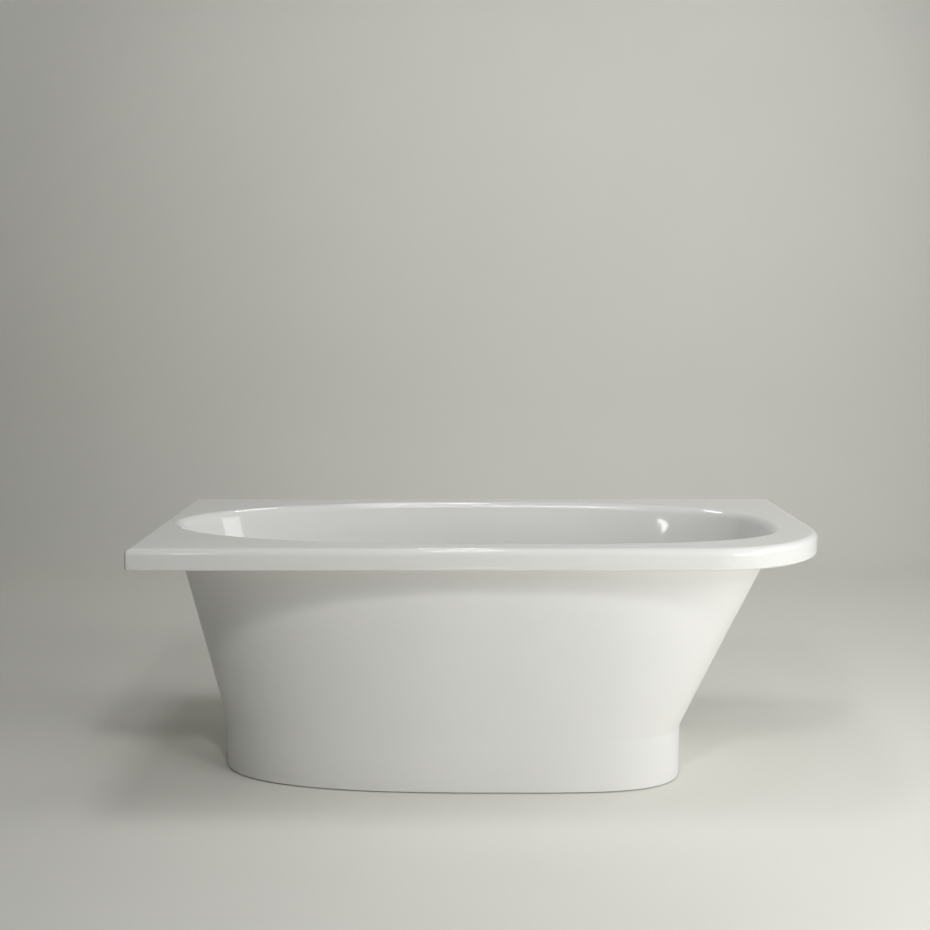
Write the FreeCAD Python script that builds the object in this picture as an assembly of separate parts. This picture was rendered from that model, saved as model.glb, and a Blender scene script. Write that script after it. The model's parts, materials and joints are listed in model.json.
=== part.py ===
import FreeCAD
import Part
import math
import os
from collections import namedtuple

# A bath that stands against a wall: a rim with three square corners and one large
# rounded corner, an oval basin, and an oval skirt that leans in to an upright plinth.
# Millimetres. +X runs along the bath to the right, +Y to the wall behind it, +Z up.
# The origin lies on the floor under the middle of the rim.

Sides = namedtuple("Sides", "left right front back")
Oval = namedtuple("Oval", "left right front back widest left_fullness right_fullness swing", defaults=(0.0,))

# Fits
FLAT_BOND = 0.3
RUNNING_GAP = 0.05
SOCKET_GAP = 0.15

# Rim and shell
RIM_LENGTH = 1600.0
RIM_WIDTH = 750.0
HEIGHT = 600.0
RIM_DEPTH = 50.0
RIM_EDGE_RADIUS = 16.0
WALL_CORNER_EASE = 2.0
LOWER_EDGE_EASE = 1.0
FREE_CORNER_RADIUS = 300.0
SEAM_RISE = 2.0
ACRYLIC = 5.0
LAMINATE = 3.0

# Skirt, as distances from the rim's faces at the top and from its own top at the plinth
SKIRT_MARGIN = Sides(left=46.0, right=104.0, front=57.0, back=75.0)
PLINTH_INSET = Sides(left=110.0, right=216.0, front=43.0, back=43.0)
TOP_WIDEST = -30.0
PLINTH_WIDEST = 40.0
TOP_FULLNESS_LEFT = 2.3
TOP_FULLNESS_RIGHT = 3.2
PLINTH_FULLNESS_LEFT = 2.7
PLINTH_FULLNESS_RIGHT = 3.9
PLINTH_HEIGHT = 124.0
FLOOR_GAP = 3.0
SKIRT_WALL = 4.0
SKIRT_RETURN = 20.0
SKIRT_CLEARANCE = Sides(left=10.0, right=13.0, front=12.0, back=2.0)
FRAME_CLEARANCE = 1.0
SERVICE_WIDTH = 460.0
SERVICE_BAND = 30.0

# Basin: fullness and forward swing of its ends, degrees that each wall leans beyond the skirt,
# and the roundings at its lip and floor
BASIN_FULLNESS_LEFT = 2.15
BASIN_FULLNESS_RIGHT = 2.8
BASIN_SWING = 30.0
WALL_BEYOND_SKIRT = Sides(left=2.4, right=3.0, front=1.7, back=1.7)
LIP_RADIUS = 18.0
HEEL_RADIUS = 90.0
HEEL_RUN = Sides(left=70.0, right=100.0, front=70.0, back=70.0)
FLOOR_FALL = 6.0

# Timber
BATTEN_WIDTH = 28.0
BATTEN_END_GAP = 60.0
BATTEN_CORNER_GAP = 46.0
BOARD_THICKNESS = 18.0
BOARD_SPREAD = 0.92
BOARD_NOTCH_CLEARANCE = 3.0
BOARD_WASTE_CLEARANCE = 9.0

# Bars and feet, set in from the ends and sides of the plinth
BAR_INSET = 242.0
BAR_END_MARGIN = 76.0
BAR_WIDTH = 40.0
BAR_HEIGHT = 30.0
BAR_WALL = 2.5
BAR_SCREW_SPACING = 160.0
SCREW_RADIUS = 2.5
SCREW_HEAD_RADIUS = 5.0
SCREW_HEAD_HEIGHT = 3.2
SCREW_BITE = 14.0
FOOT_INSET = 25.0
ROD_RADIUS = 6.0
ROD_REACH = 9.0
ROD_SEAT_HEIGHT = 10.0
ROD_HEX_WIDTH = 14.0
ROD_HEX_RISE = 4.0
ROD_HEX_HEIGHT = 9.0
NUT_WIDTH = 18.0
WELD_NUT_HEIGHT = 10.0
LOCK_NUT_HEIGHT = 7.0
PAD_RADIUS = 24.0
PAD_PLATE_TOP = 13.0
PAD_BOSS_RADIUS = 11.0
PAD_HEIGHT = 26.0
PAD_BEVEL = 2.0
SOLE_RADIUS = 25.0
SOLE_THICKNESS = 4.0

# Waste and its plug
DRAIN_SEAT_RADIUS = 45.0
WASTE_HOLE_CLEARANCE = 3.0
WASTE_FLANGE_RADIUS = 36.0
WASTE_FLANGE_THICKNESS = 2.5
FLANGE_BEVEL = 1.0
FLANGE_DISH = 2.0
WASTE_TUBE_RADIUS = 24.0
WASTE_TUBE_WALL = 3.0
WASTE_TUBE_REACH = 31.0
TOP_SEAL_THICKNESS = 0.5
BOTTOM_SEAL_THICKNESS = 3.0
BOTTOM_SEAL_RADIUS = 42.0
WASTE_COLLAR_RADIUS = 43.0
WASTE_COLLAR_THICKNESS = 5.0
WASTE_THREAD_DEPTH = 20.0
WASTE_CUP_RADIUS = 33.0
WASTE_CUP_WALL = 4.0
WASTE_CUP_DEPTH = 46.0
SPIGOT_LENGTH = 16.0
SPIDER_THICKNESS = 5.0
SPIDER_BAR_WIDTH = 4.0
SPIDER_RISE = 2.0
WASTE_SPIDER_ARMS = 4
HUB_RADIUS = 7.0
STEM_RADIUS = 4.0
PLUG_RADIUS = 32.0
PLUG_EDGE = 2.4
PLUG_CROWN = 4.0
PLUG_SEAL_OUTER = 29.0
PLUG_SEAL_INNER = 23.0
PLUG_SEAL_THICKNESS = 2.0
PLUG_SEAT_GAP = 0.2
LEVER_ARM = 20.0
LEVER_SWING = 17.5
LEVER_TIP = 6.0
LEVER_WIDTH = 9.0
LEVER_THICKNESS = 4.0
LEVER_HUB_RADIUS = 4.0
LEVER_PIN_RADIUS = 2.0
LEVER_PIN_BITE = 3.0
LEVER_FLOOR_GAP = 1.2
LEVER_STEM_GAP = 0.45

# Overflow and its knob
OVERFLOW_DROP = 155.0
OVERFLOW_HOLE_CLEARANCE = 3.0
OVERFLOW_FLANGE_RADIUS = 34.0
OVERFLOW_FLANGE_THICKNESS = 2.5
OVERFLOW_TUBE_RADIUS = 25.0
OVERFLOW_TUBE_WALL = 3.0
OVERFLOW_TUBE_REACH = 25.0
OVERFLOW_SPIDER_ARMS = 3
OVERFLOW_SEAL_RADIUS = 36.0
OVERFLOW_SEAL_THICKNESS = 3.0
OVERFLOW_COLLAR_RADIUS = 37.0
OVERFLOW_COLLAR_THICKNESS = 4.0
OVERFLOW_CUP_RADIUS = 33.0
OVERFLOW_CUP_WALL = 4.0
OVERFLOW_CUP_DEPTH = 56.0
OVERFLOW_THREAD_DEPTH = 9.0
OVERFLOW_PIPE_CLEARANCE = 4.0
SPINDLE_RADIUS = 5.0
SPINDLE_HUB_RADIUS = 9.0
SPINDLE_REACH = 34.0
SPINDLE_IN_KNOB = 5.0
KNOB_RADIUS = 32.0
KNOB_STANDOFF = 7.0
KNOB_DEPTH = 10.0
KNOB_EDGE_RADIUS = 3.0
GRIP_LENGTH = 46.0
GRIP_WIDTH = 9.0
GRIP_HEIGHT = 7.0
GRIP_EDGE_RADIUS = 2.25
CRANK_RADIUS = 17.0
CRANK_THICKNESS = 5.0
CRANK_END_GAP = 2.0
CRANK_PIN_RADIUS = 2.5
CRANK_PIN_OFFSET = 12.0
CRANK_PIN_LENGTH = 5.0

# Pipes, nuts and cable
PIPE_RADIUS = 20.0
PIPE_WALL = 2.5
PIPE_SOCKET_WALL = 5.0
PIPE_SOCKET_DEPTH = 25.0
PIPE_BEND_RADIUS = 70.0
OVERFLOW_SPIGOT_DROP = 62.0
INLET_RISE = 13.3
INLET_REACH = 75.0
INLET_NECK_RADIUS = 15.0
INLET_SOCKET_START = 30.0
INLET_BORE_RADIUS = 10.5
NUT_WALL = 4.5
NUT_GRIP = 12.0
NUT_CAP = 5.0
NUT_RIBS = 12
NUT_RIB_RADIUS = 2.0
CABLE_RADIUS = 3.0
CABLE_CLEARANCE = 1.5
CABLE_SEAT_DEPTH = 16.0
CABLE_PORT_WIDTH = 14.0
CABLE_PORT_TOP = 2.0
CABLE_PORT_DROP = 30.0
CABLE_PORT_REACH = 62.0
CLIP_WALL = 2.6
CLIP_WIDTH = 8.0
CLIP_COUNT = 2

# Trap and outlet
TRAP_LEG = 20.0
TRAP_INNER_RADIUS = 8.0
TRAP_RISE = 13.0
TRAP_FLOOR_GAP = 8.7
CLEAN_BOSS_RADIUS = 14.0
CLEAN_BOSS_BORE = 10.0
CLEAN_BOSS_REACH = 27.0
CLEAN_CAP_RADIUS = 17.0
CLEAN_CAP_THICKNESS = 7.0
ELBOW_LEAD = 6.0
ELBOW_INNER_RADIUS = 2.0
ELBOW_REACH = 36.0
OUTLET_BACK_GAP = 22.0
OUTLET_COLLAR_RADIUS = 23.0
OUTLET_COLLAR_WIDTH = 4.0
OUTLET_SPIGOT = 45.0

CURVE_POINTS = 48
PAST = 2.0
UP = FreeCAD.Vector(0, 0, 1)

# Heights and places that follow from the sizes above
RIM_UNDERSIDE = HEIGHT - RIM_DEPTH
RIM_LOWER_RADIUS = ACRYLIC + LOWER_EDGE_EASE
SEAM_HEIGHT = RIM_UNDERSIDE + RIM_LOWER_RADIUS + SEAM_RISE
WALL_CORNER_RADIUS = ACRYLIC + WALL_CORNER_EASE
LIP_HEIGHT = HEIGHT - LIP_RADIUS
LAMINATE_INNER = ACRYLIC + FLAT_BOND
LAMINATE_OUTER = LAMINATE_INNER + LAMINATE
TRAP_BEND_RADIUS = PIPE_RADIUS + TRAP_INNER_RADIUS
LEG_BOTTOM = TRAP_FLOOR_GAP + PIPE_RADIUS + TRAP_BEND_RADIUS
SPIGOT_BOTTOM = LEG_BOTTOM + TRAP_LEG
CUP_BOTTOM = SPIGOT_BOTTOM + SPIGOT_LENGTH
CUP_FLOOR = CUP_BOTTOM + WASTE_CUP_WALL
COLLAR_TOP = CUP_BOTTOM + WASTE_CUP_DEPTH
FLOOR_UNDERSIDE = COLLAR_TOP + BOTTOM_SEAL_THICKNESS
DRAIN_HEIGHT = FLOOR_UNDERSIDE + LAMINATE_OUTER
FLOOR_EDGE_HEIGHT = DRAIN_HEIGHT + FLOOR_FALL
HEEL_HEIGHT = FLOOR_EDGE_HEIGHT + HEEL_RADIUS
BOARD_BOTTOM = FLOOR_UNDERSIDE - FLAT_BOND - BOARD_THICKNESS
WEB_BOTTOM = BOARD_BOTTOM - BAR_WALL
BAR_BOTTOM = BOARD_BOTTOM - BAR_HEIGHT
DRAIN_X = TOP_WIDEST
CENTRE_Y = (SKIRT_MARGIN.front - SKIRT_MARGIN.back) / 2
SERVICE_LEFT = DRAIN_X - SERVICE_WIDTH / 2
WASTE_HOLE_RADIUS = WASTE_TUBE_RADIUS + WASTE_HOLE_CLEARANCE
OVERFLOW_HEIGHT = HEIGHT - OVERFLOW_DROP
OVERFLOW_HOLE_RADIUS = OVERFLOW_TUBE_RADIUS + OVERFLOW_HOLE_CLEARANCE
INLET_HEIGHT = CUP_BOTTOM + INLET_RISE
CABLE_OFFSET = PIPE_RADIUS + PIPE_SOCKET_WALL + NUT_WALL + CABLE_CLEARANCE + CABLE_RADIUS


def vec(x, y, z):
    return FreeCAD.Vector(x, y, z)


def same(amount):
    return Sides(amount, amount, amount, amount)


def combine(rule, *several):
    """One value per side, worked out from the same side of each group."""
    return Sides(*(rule(*values) for values in zip(*several)))


def grown(oval, amounts):
    """The oval with each side moved outwards."""
    return oval._replace(left=oval.left - amounts.left, right=oval.right + amounts.right,
                         front=oval.front - amounts.front, back=oval.back + amounts.back)


def round_oval(x, y, radius):
    return Oval(x - radius, x + radius, y - radius, y + radius, x, 2.0, 2.0)


def oval_points(oval, height):
    """Points round an oval whose left and right halves are superellipses of their own fullness.

    The right half may swing towards the front, by the full amount at its tip.
    """
    middle = (oval.front + oval.back) / 2
    half_width = (oval.back - oval.front) / 2
    turn = 2 * math.pi / CURVE_POINTS
    points = []
    for step in range(CURVE_POINTS):
        across, along = math.sin(step * turn), math.cos(step * turn)
        reach = oval.right - oval.widest if along > 0 else oval.widest - oval.left
        fullness = oval.right_fullness if along > 0 else oval.left_fullness
        size = (abs(along) ** fullness + abs(across) ** fullness) ** (-1 / fullness)
        swing = oval.swing * max(size * along, 0.0) ** 2
        y = middle + half_width * size * across - swing
        points.append(vec(oval.widest + reach * size * along, y, height))
    return points


def closed_curve(points):
    turn = 2 * math.pi / CURVE_POINTS
    curve = Part.BSplineCurve()
    curve.interpolate(Points=points, PeriodicFlag=True,
                      Parameters=[step * turn for step in range(CURVE_POINTS + 1)])
    return Part.Wire([curve.toShape()])


def oval_wire(oval, height):
    return closed_curve(oval_points(oval, height))


def prism(oval, bottom, top):
    return Part.Face(oval_wire(oval, bottom)).extrude(vec(0, 0, top - bottom))


def box(low, high):
    return Part.makeBox(high.x - low.x, high.y - low.y, high.z - low.z, low)


def cylinder(radius, base, axis, length):
    return Part.makeCylinder(radius, length, base, axis)


def tube(outer, inner, bottom, top):
    wall = cylinder(outer, vec(0, 0, bottom), UP, top - bottom)
    return wall.cut(cylinder(inner, vec(0, 0, bottom - PAST), UP, top - bottom + 2 * PAST))


def turned(profile):
    """A solid of revolution about Z from (radius, height) points."""
    points = [vec(radius, 0, height) for radius, height in profile]
    return Part.Face(Part.makePolygon(points + points[:1])).revolve(vec(0, 0, 0), UP, 360)


def hexagon(width, bottom, top):
    corner = width / math.sqrt(3)
    points = [vec(corner * math.cos(math.pi * k / 3), corner * math.sin(math.pi * k / 3), bottom)
              for k in range(7)]
    return Part.Face(Part.makePolygon(points)).extrude(vec(0, 0, top - bottom))


def moved(shape, x, y, z=0.0):
    copy = shape.copy()
    copy.translate(vec(x, y, z))
    return copy


def swept(edges, radius):
    """A round bar along a path of straight runs and tangent arcs."""
    path = Part.Wire(edges)
    start = edges[0].Curve.value(edges[0].FirstParameter)
    direction = edges[0].tangentAt(edges[0].FirstParameter)
    section = Part.Wire([Part.makeCircle(radius, start, direction)])
    return path.makePipeShell([section], True, False)


def line(start, end):
    return Part.LineSegment(start, end).toShape()


def arc(start, middle, end):
    return Part.Arc(start, middle, end).toShape()


def skin_faces(*skins):
    return [face for skin in skins for face in skin.Faces]


def sewn(faces):
    """A closed solid from faces that meet along their edges."""
    shell = Part.makeShell(faces)
    shell.sewShape()
    solid = Part.makeSolid(shell)
    if solid.Volume < 0:
        solid.reverse()
    return solid


# Outlines

def wall_lean(run, beyond):
    """Run of a basin wall for each unit of height: the skirt's own lean and some degrees more."""
    return run / (RIM_UNDERSIDE - PLINTH_HEIGHT) + math.tan(math.radians(beyond))


WALL_LEAN = combine(wall_lean, PLINTH_INSET, WALL_BEYOND_SKIRT)


def slant(lean):
    """Level distance through a leaning wall for each unit of its thickness."""
    return math.sqrt(1 + lean * lean)


def skirt_outline(height):
    """Outside of the skirt: a straight lean from the rim's underside to the upright plinth."""
    rise = max(height, PLINTH_HEIGHT)
    share = (RIM_UNDERSIDE - rise) / (RIM_UNDERSIDE - PLINTH_HEIGHT)
    inset = combine(lambda margin, run: margin + run * share, SKIRT_MARGIN, PLINTH_INSET)

    def between(top, plinth):
        return top + (plinth - top) * share

    return Oval(-RIM_LENGTH / 2 + inset.left, RIM_LENGTH / 2 - inset.right,
                -RIM_WIDTH / 2 + inset.front, RIM_WIDTH / 2 - inset.back,
                between(TOP_WIDEST, PLINTH_WIDEST),
                between(TOP_FULLNESS_LEFT, PLINTH_FULLNESS_LEFT),
                between(TOP_FULLNESS_RIGHT, PLINTH_FULLNESS_RIGHT))


def basin_outline(height, offset):
    """The basin's leaning wall at a height, set outwards from the bathing side by an offset."""
    top = skirt_outline(RIM_UNDERSIDE)._replace(left_fullness=BASIN_FULLNESS_LEFT,
                                                right_fullness=BASIN_FULLNESS_RIGHT, swing=BASIN_SWING)

    def growth(lean, clearance):
        stack = (LAMINATE_OUTER - offset) * slant(lean)
        return lean * (height - RIM_UNDERSIDE) - SKIRT_WALL - clearance - stack

    return grown(top, combine(growth, WALL_LEAN, SKIRT_CLEARANCE))


def lip_outline(angle, offset):
    """The rounded lip: 0 degrees at the wall, 90 where it runs out into the flat deck."""
    turn = math.radians(angle)
    height = LIP_HEIGHT + (LIP_RADIUS - offset) * math.sin(turn)

    def growth(lean):
        return (LIP_RADIUS - offset * (slant(lean) - lean)) * (1 - math.cos(turn))

    return grown(basin_outline(height, offset), combine(growth, WALL_LEAN)), height


def heel_outline(angle, offset):
    """The rounding from wall to floor: 0 degrees at the wall, 90 at the edge of the floor."""
    turn = math.radians(angle)
    height = HEEL_HEIGHT - (HEEL_RADIUS + offset) * math.sin(turn)

    def growth(lean, run):
        return -(run + offset * (slant(lean) - lean)) * (1 - math.cos(turn))

    return grown(basin_outline(height, offset), combine(growth, WALL_LEAN, HEEL_RUN)), height


def drain_points(offset):
    return oval_points(round_oval(DRAIN_X, CENTRE_Y, DRAIN_SEAT_RADIUS), DRAIN_HEIGHT - offset)


# Shell, its backing and the rim

ROUNDING_STEPS = (0.0, 22.5, 45.0, 67.5, 90.0)


def basin_skin(offset):
    """Wall, heel, sloping floor and flat drain seat at one offset from the bathing side."""
    heel = [oval_wire(*heel_outline(angle, offset)) for angle in ROUNDING_STEPS]
    top = oval_wire(basin_outline(LIP_HEIGHT, offset), LIP_HEIGHT)
    seat = closed_curve(drain_points(offset))
    return skin_faces(Part.makeLoft([top, heel[0]], False, True), Part.makeLoft(heel, False, False),
                      Part.makeLoft([heel[-1], seat], False, True), Part.Face(seat))


def basin_block(offset):
    """Everything inside one skin of the basin, up to the start of the lip."""
    cap = Part.Face(oval_wire(basin_outline(LIP_HEIGHT, offset), LIP_HEIGHT))
    return sewn(basin_skin(offset) + [cap])


def lip_skin(offset):
    wires = [oval_wire(*lip_outline(angle, offset)) for angle in ROUNDING_STEPS]
    return skin_faces(Part.makeLoft(wires, False, False))


def rim_block(inset, bottom, top):
    """The rim's plan, drawn in from its faces, as an upright block."""
    right, back = RIM_LENGTH / 2 - inset, RIM_WIDTH / 2 - inset
    free, wall = FREE_CORNER_RADIUS - inset, WALL_CORNER_RADIUS - inset
    roundings = []
    corners = ((right, -back, free), (right, back, wall), (-right, back, wall), (-right, -back, wall))
    for x, y, radius in corners:
        outwards = vec(math.copysign(1, x), math.copysign(1, y), 0)
        centre = vec(x, y, bottom) - outwards * radius
        ends = [vec(x, centre.y, bottom), vec(centre.x, y, bottom)]
        if outwards.x != outwards.y:
            ends.reverse()
        roundings.append((ends[0], centre + outwards * (radius * math.sqrt(0.5)), ends[1]))
    edges = []
    for rounding, following in zip(roundings, roundings[1:] + roundings[:1]):
        edges += [arc(*rounding), line(rounding[-1], following[0])]
    return Part.Face(Part.Wire(edges)).extrude(vec(0, 0, top - bottom))


def rounded_at(block, height, radius):
    """Rounds the whole outer edge of the block's flat face at a height."""
    edges = [edge for edge in block.Edges
             if all(abs(vertex.Z - height) < 1e-6 for vertex in edge.Vertexes)]
    return block.makeFillet(radius, edges)


def make_bath_shell():
    deck_underside = HEIGHT - ACRYLIC
    outside = rounded_at(rim_block(0, SEAM_HEIGHT, HEIGHT), HEIGHT, RIM_EDGE_RADIUS)
    inside = rounded_at(rim_block(ACRYLIC, SEAM_HEIGHT - PAST, deck_underside), deck_underside,
                        RIM_EDGE_RADIUS - ACRYLIC)
    mouth, _ = lip_outline(90.0, 0.0)
    deck = outside.cut(inside).cut(prism(mouth, deck_underside - PAST, HEIGHT + PAST))
    ring = Part.makeLoft([oval_wire(mouth, HEIGHT), oval_wire(mouth, deck_underside)], False, True)
    bowl = sewn(basin_skin(0.0) + lip_skin(0.0) + basin_skin(ACRYLIC) + lip_skin(ACRYLIC) + ring.Faces)
    return deck.fuse(bowl).cut(waste_hole()).cut(overflow_hole())


def make_glass_fibre_layer():
    layer = basin_block(LAMINATE_OUTER).cut(basin_block(LAMINATE_INNER))
    return layer.cut(waste_hole()).cut(overflow_hole())


def make_rim_closing_frame():
    outside = rounded_at(rim_block(0, RIM_UNDERSIDE, SEAM_HEIGHT), RIM_UNDERSIDE, RIM_LOWER_RADIUS)
    floor_top = RIM_UNDERSIDE + ACRYLIC
    inside = rounded_at(rim_block(ACRYLIC, floor_top, SEAM_HEIGHT + PAST), floor_top, LOWER_EDGE_EASE)
    opening = grown(basin_outline(floor_top, LAMINATE_OUTER), same(FRAME_CLEARANCE))
    return outside.cut(inside).cut(prism(opening, RIM_UNDERSIDE - PAST, floor_top + PAST))


def make_rim_battens():
    """Strips between the deck and the closing frame: front, back and right."""
    low, high = RIM_UNDERSIDE + ACRYLIC, HEIGHT - ACRYLIC
    reach = RIM_EDGE_RADIUS + FLAT_BOND
    front = -RIM_WIDTH / 2 + reach
    back = RIM_WIDTH / 2 - reach
    left = -RIM_LENGTH / 2 + reach + BATTEN_END_GAP
    right = RIM_LENGTH / 2 - reach
    front_end = RIM_LENGTH / 2 - FREE_CORNER_RADIUS
    back_end = right - BATTEN_END_GAP
    right_back = back - BATTEN_WIDTH - BATTEN_END_GAP
    right_front = -RIM_WIDTH / 2 + FREE_CORNER_RADIUS + BATTEN_CORNER_GAP
    strips = [box(vec(left, front, low), vec(front_end, front + BATTEN_WIDTH, high)),
              box(vec(left, back - BATTEN_WIDTH, low), vec(back_end, back, high)),
              box(vec(right - BATTEN_WIDTH, right_front, low), vec(right, right_back, high))]
    return Part.makeCompound(strips)


# Skirt

def skirt_block(inset, bottom, top):
    levels = sorted({bottom, PLINTH_HEIGHT, top})
    wires = [oval_wire(grown(skirt_outline(level), same(-inset)), level) for level in levels]
    return Part.makeLoft(wires, True, True)


def make_skirt():
    outside = skirt_block(0.0, FLOOR_GAP, RIM_UNDERSIDE)
    inside = skirt_block(SKIRT_WALL, FLOOR_GAP + SKIRT_WALL, RIM_UNDERSIDE + PAST)
    return_edge = grown(skirt_outline(FLOOR_GAP), same(-SKIRT_RETURN))
    under = prism(return_edge, FLOOR_GAP - PAST, FLOOR_GAP + SKIRT_WALL + PAST)
    service = box(vec(SERVICE_LEFT, CENTRE_Y, FLOOR_GAP - PAST),
                  vec(SERVICE_LEFT + SERVICE_WIDTH, RIM_WIDTH / 2, RIM_UNDERSIDE - SERVICE_BAND))
    return outside.cut(inside).cut(under).cut(service)


# Base board, bars and feet

PLINTH = skirt_outline(FLOOR_GAP)
BAR_PLACES = {"foot_end": PLINTH.left + BAR_INSET, "head_end": PLINTH.right - BAR_INSET}
BAR_FRONT = PLINTH.front + BAR_END_MARGIN
BAR_BACK = PLINTH.back - BAR_END_MARGIN


def foot_places():
    rows = {"front": BAR_FRONT + FOOT_INSET, "back": BAR_BACK - FOOT_INSET}
    ends = {"left": BAR_PLACES["foot_end"], "right": BAR_PLACES["head_end"]}
    return {row + "_" + end: (ends[end], rows[row]) for row in rows for end in ends}


def screw_places():
    middle = (BAR_FRONT + BAR_BACK) / 2
    reach = BAR_SCREW_SPACING / 2
    return [(x, y) for x in BAR_PLACES.values() for y in (middle - reach, middle + reach)]


def make_base_board():
    """A board that follows the sloping floor from below, out to a share of the way to its edge."""
    seat = drain_points(LAMINATE_OUTER + FLAT_BOND)
    edge = oval_points(*heel_outline(90.0, LAMINATE_OUTER + FLAT_BOND))
    top = [near + (far - near) * BOARD_SPREAD for near, far in zip(seat, edge)]
    bottom = [vec(point.x, point.y, BOARD_BOTTOM) for point in top]
    board = Part.makeLoft([closed_curve(ring) for ring in (bottom, top, seat)], True, True)
    half = CABLE_OFFSET + CABLE_PORT_WIDTH / 2 + BOARD_NOTCH_CLEARANCE
    notch = box(vec(DRAIN_X - half, CENTRE_Y, BOARD_BOTTOM - PAST),
                vec(DRAIN_X + half, RIM_WIDTH / 2, FLOOR_EDGE_HEIGHT))
    waste_radius = WASTE_COLLAR_RADIUS + BOARD_WASTE_CLEARANCE
    waste = cylinder(waste_radius, vec(DRAIN_X, CENTRE_Y, BOARD_BOTTOM - PAST), UP, HEIGHT)
    board = board.cut(notch).cut(waste)
    for x, y in screw_places():
        depth = SCREW_BITE + FLAT_BOND
        board = board.cut(cylinder(SCREW_RADIUS + RUNNING_GAP, vec(x, y, BOARD_BOTTOM), UP, depth))
    return board


def make_bar(place):
    x = BAR_PLACES[place]
    low = vec(x - BAR_WIDTH / 2, BAR_FRONT, BAR_BOTTOM)
    high = vec(x + BAR_WIDTH / 2, BAR_BACK, BOARD_BOTTOM)
    channel = box(low, high).cut(box(vec(low.x + BAR_WALL, low.y - PAST, low.z - PAST),
                                     vec(high.x - BAR_WALL, high.y + PAST, WEB_BOTTOM)))
    holes = [(SCREW_RADIUS + SOCKET_GAP, spot) for spot in screw_places()]
    holes += [(ROD_RADIUS + SOCKET_GAP, spot) for spot in foot_places().values()]
    for radius, (hole_x, hole_y) in holes:
        if abs(hole_x - x) < BAR_WIDTH:
            channel = channel.cut(cylinder(radius, vec(hole_x, hole_y, BAR_BOTTOM), UP, BAR_HEIGHT + PAST))
    return channel


def make_bar_screws():
    head = cylinder(SCREW_HEAD_RADIUS, vec(0, 0, WEB_BOTTOM - SCREW_HEAD_HEIGHT), UP, SCREW_HEAD_HEIGHT)
    shank = cylinder(SCREW_RADIUS, vec(0, 0, WEB_BOTTOM), UP, BAR_WALL + SCREW_BITE)
    screw = head.fuse(shank).removeSplitter()
    return Part.makeCompound([moved(screw, x, y) for x, y in screw_places()])


def make_rod_nuts(bottom, height):
    nut = hexagon(NUT_WIDTH, bottom, bottom + height)
    nut = nut.cut(cylinder(ROD_RADIUS + RUNNING_GAP, vec(0, 0, bottom - PAST), UP, height + 2 * PAST))
    return Part.makeCompound([moved(nut, x, y) for x, y in foot_places().values()])


def make_skirt_blocks():
    """Blocks that tie the ends of each bar to the inside of the plinth."""
    inside = prism(grown(PLINTH, same(-SKIRT_WALL - FLAT_BOND)), BAR_BOTTOM - PAST, BOARD_BOTTOM + PAST)
    blocks = []
    for x in BAR_PLACES.values():
        left, right = x - BAR_WIDTH / 2, x + BAR_WIDTH / 2
        for near, far in ((PLINTH.front, BAR_FRONT), (BAR_BACK, PLINTH.back)):
            blocks.append(box(vec(left, near, BAR_BOTTOM), vec(right, far, BOARD_BOTTOM)).common(inside))
    return Part.makeCompound([block.Solids[0] for block in blocks])


def make_foot_rod():
    top = BOARD_BOTTOM + ROD_REACH
    rod = cylinder(ROD_RADIUS, vec(0, 0, ROD_SEAT_HEIGHT), UP, top - ROD_SEAT_HEIGHT)
    hex_bottom = PAD_HEIGHT + ROD_HEX_RISE
    return rod.fuse(hexagon(ROD_HEX_WIDTH, hex_bottom, hex_bottom + ROD_HEX_HEIGHT)).removeSplitter()


def make_foot_pad():
    bore = ROD_RADIUS + RUNNING_GAP
    return turned([(0, SOLE_THICKNESS), (PAD_RADIUS, SOLE_THICKNESS), (PAD_RADIUS, PAD_PLATE_TOP - PAD_BEVEL),
                   (PAD_RADIUS - PAD_BEVEL, PAD_PLATE_TOP),
                   (PAD_BOSS_RADIUS + PAD_BEVEL, PAD_PLATE_TOP + PAD_BEVEL),
                   (PAD_BOSS_RADIUS, PAD_HEIGHT), (bore, PAD_HEIGHT), (bore, ROD_SEAT_HEIGHT),
                   (0, ROD_SEAT_HEIGHT)])


def make_foot_sole():
    return cylinder(SOLE_RADIUS, vec(0, 0, 0), UP, SOLE_THICKNESS)


# Waste, plug and lever, built about the drain's axis

WASTE_CUP_INNER = WASTE_CUP_RADIUS - WASTE_CUP_WALL
LEVER_PIN_LENGTH = 2 * (math.sqrt(WASTE_CUP_INNER ** 2 - LEVER_ARM ** 2) + LEVER_PIN_BITE)
FLANGE_BOTTOM = DRAIN_HEIGHT + TOP_SEAL_THICKNESS
FLANGE_TOP = FLANGE_BOTTOM + WASTE_FLANGE_THICKNESS
TUBE_BOTTOM = FLANGE_BOTTOM - WASTE_TUBE_REACH
LEVER_HEIGHT = (CUP_FLOOR + LEVER_FLOOR_GAP + LEVER_THICKNESS / 2
                + (LEVER_ARM + LEVER_TIP) * math.sin(math.radians(LEVER_SWING)))
LEVER_TOP = LEVER_THICKNESS / 2 / math.cos(math.radians(LEVER_SWING))
STEM_BOTTOM = (LEVER_HEIGHT - LEVER_ARM * math.tan(math.radians(LEVER_SWING)) + LEVER_TOP
               + LEVER_STEM_GAP)
PLUG_BOTTOM = FLANGE_TOP + PLUG_SEAT_GAP + PLUG_SEAL_THICKNESS
PLUG_LIFT = 2 * LEVER_ARM * math.tan(math.radians(LEVER_SWING))


def at_drain(shape):
    return moved(shape, DRAIN_X, CENTRE_Y)


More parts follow.
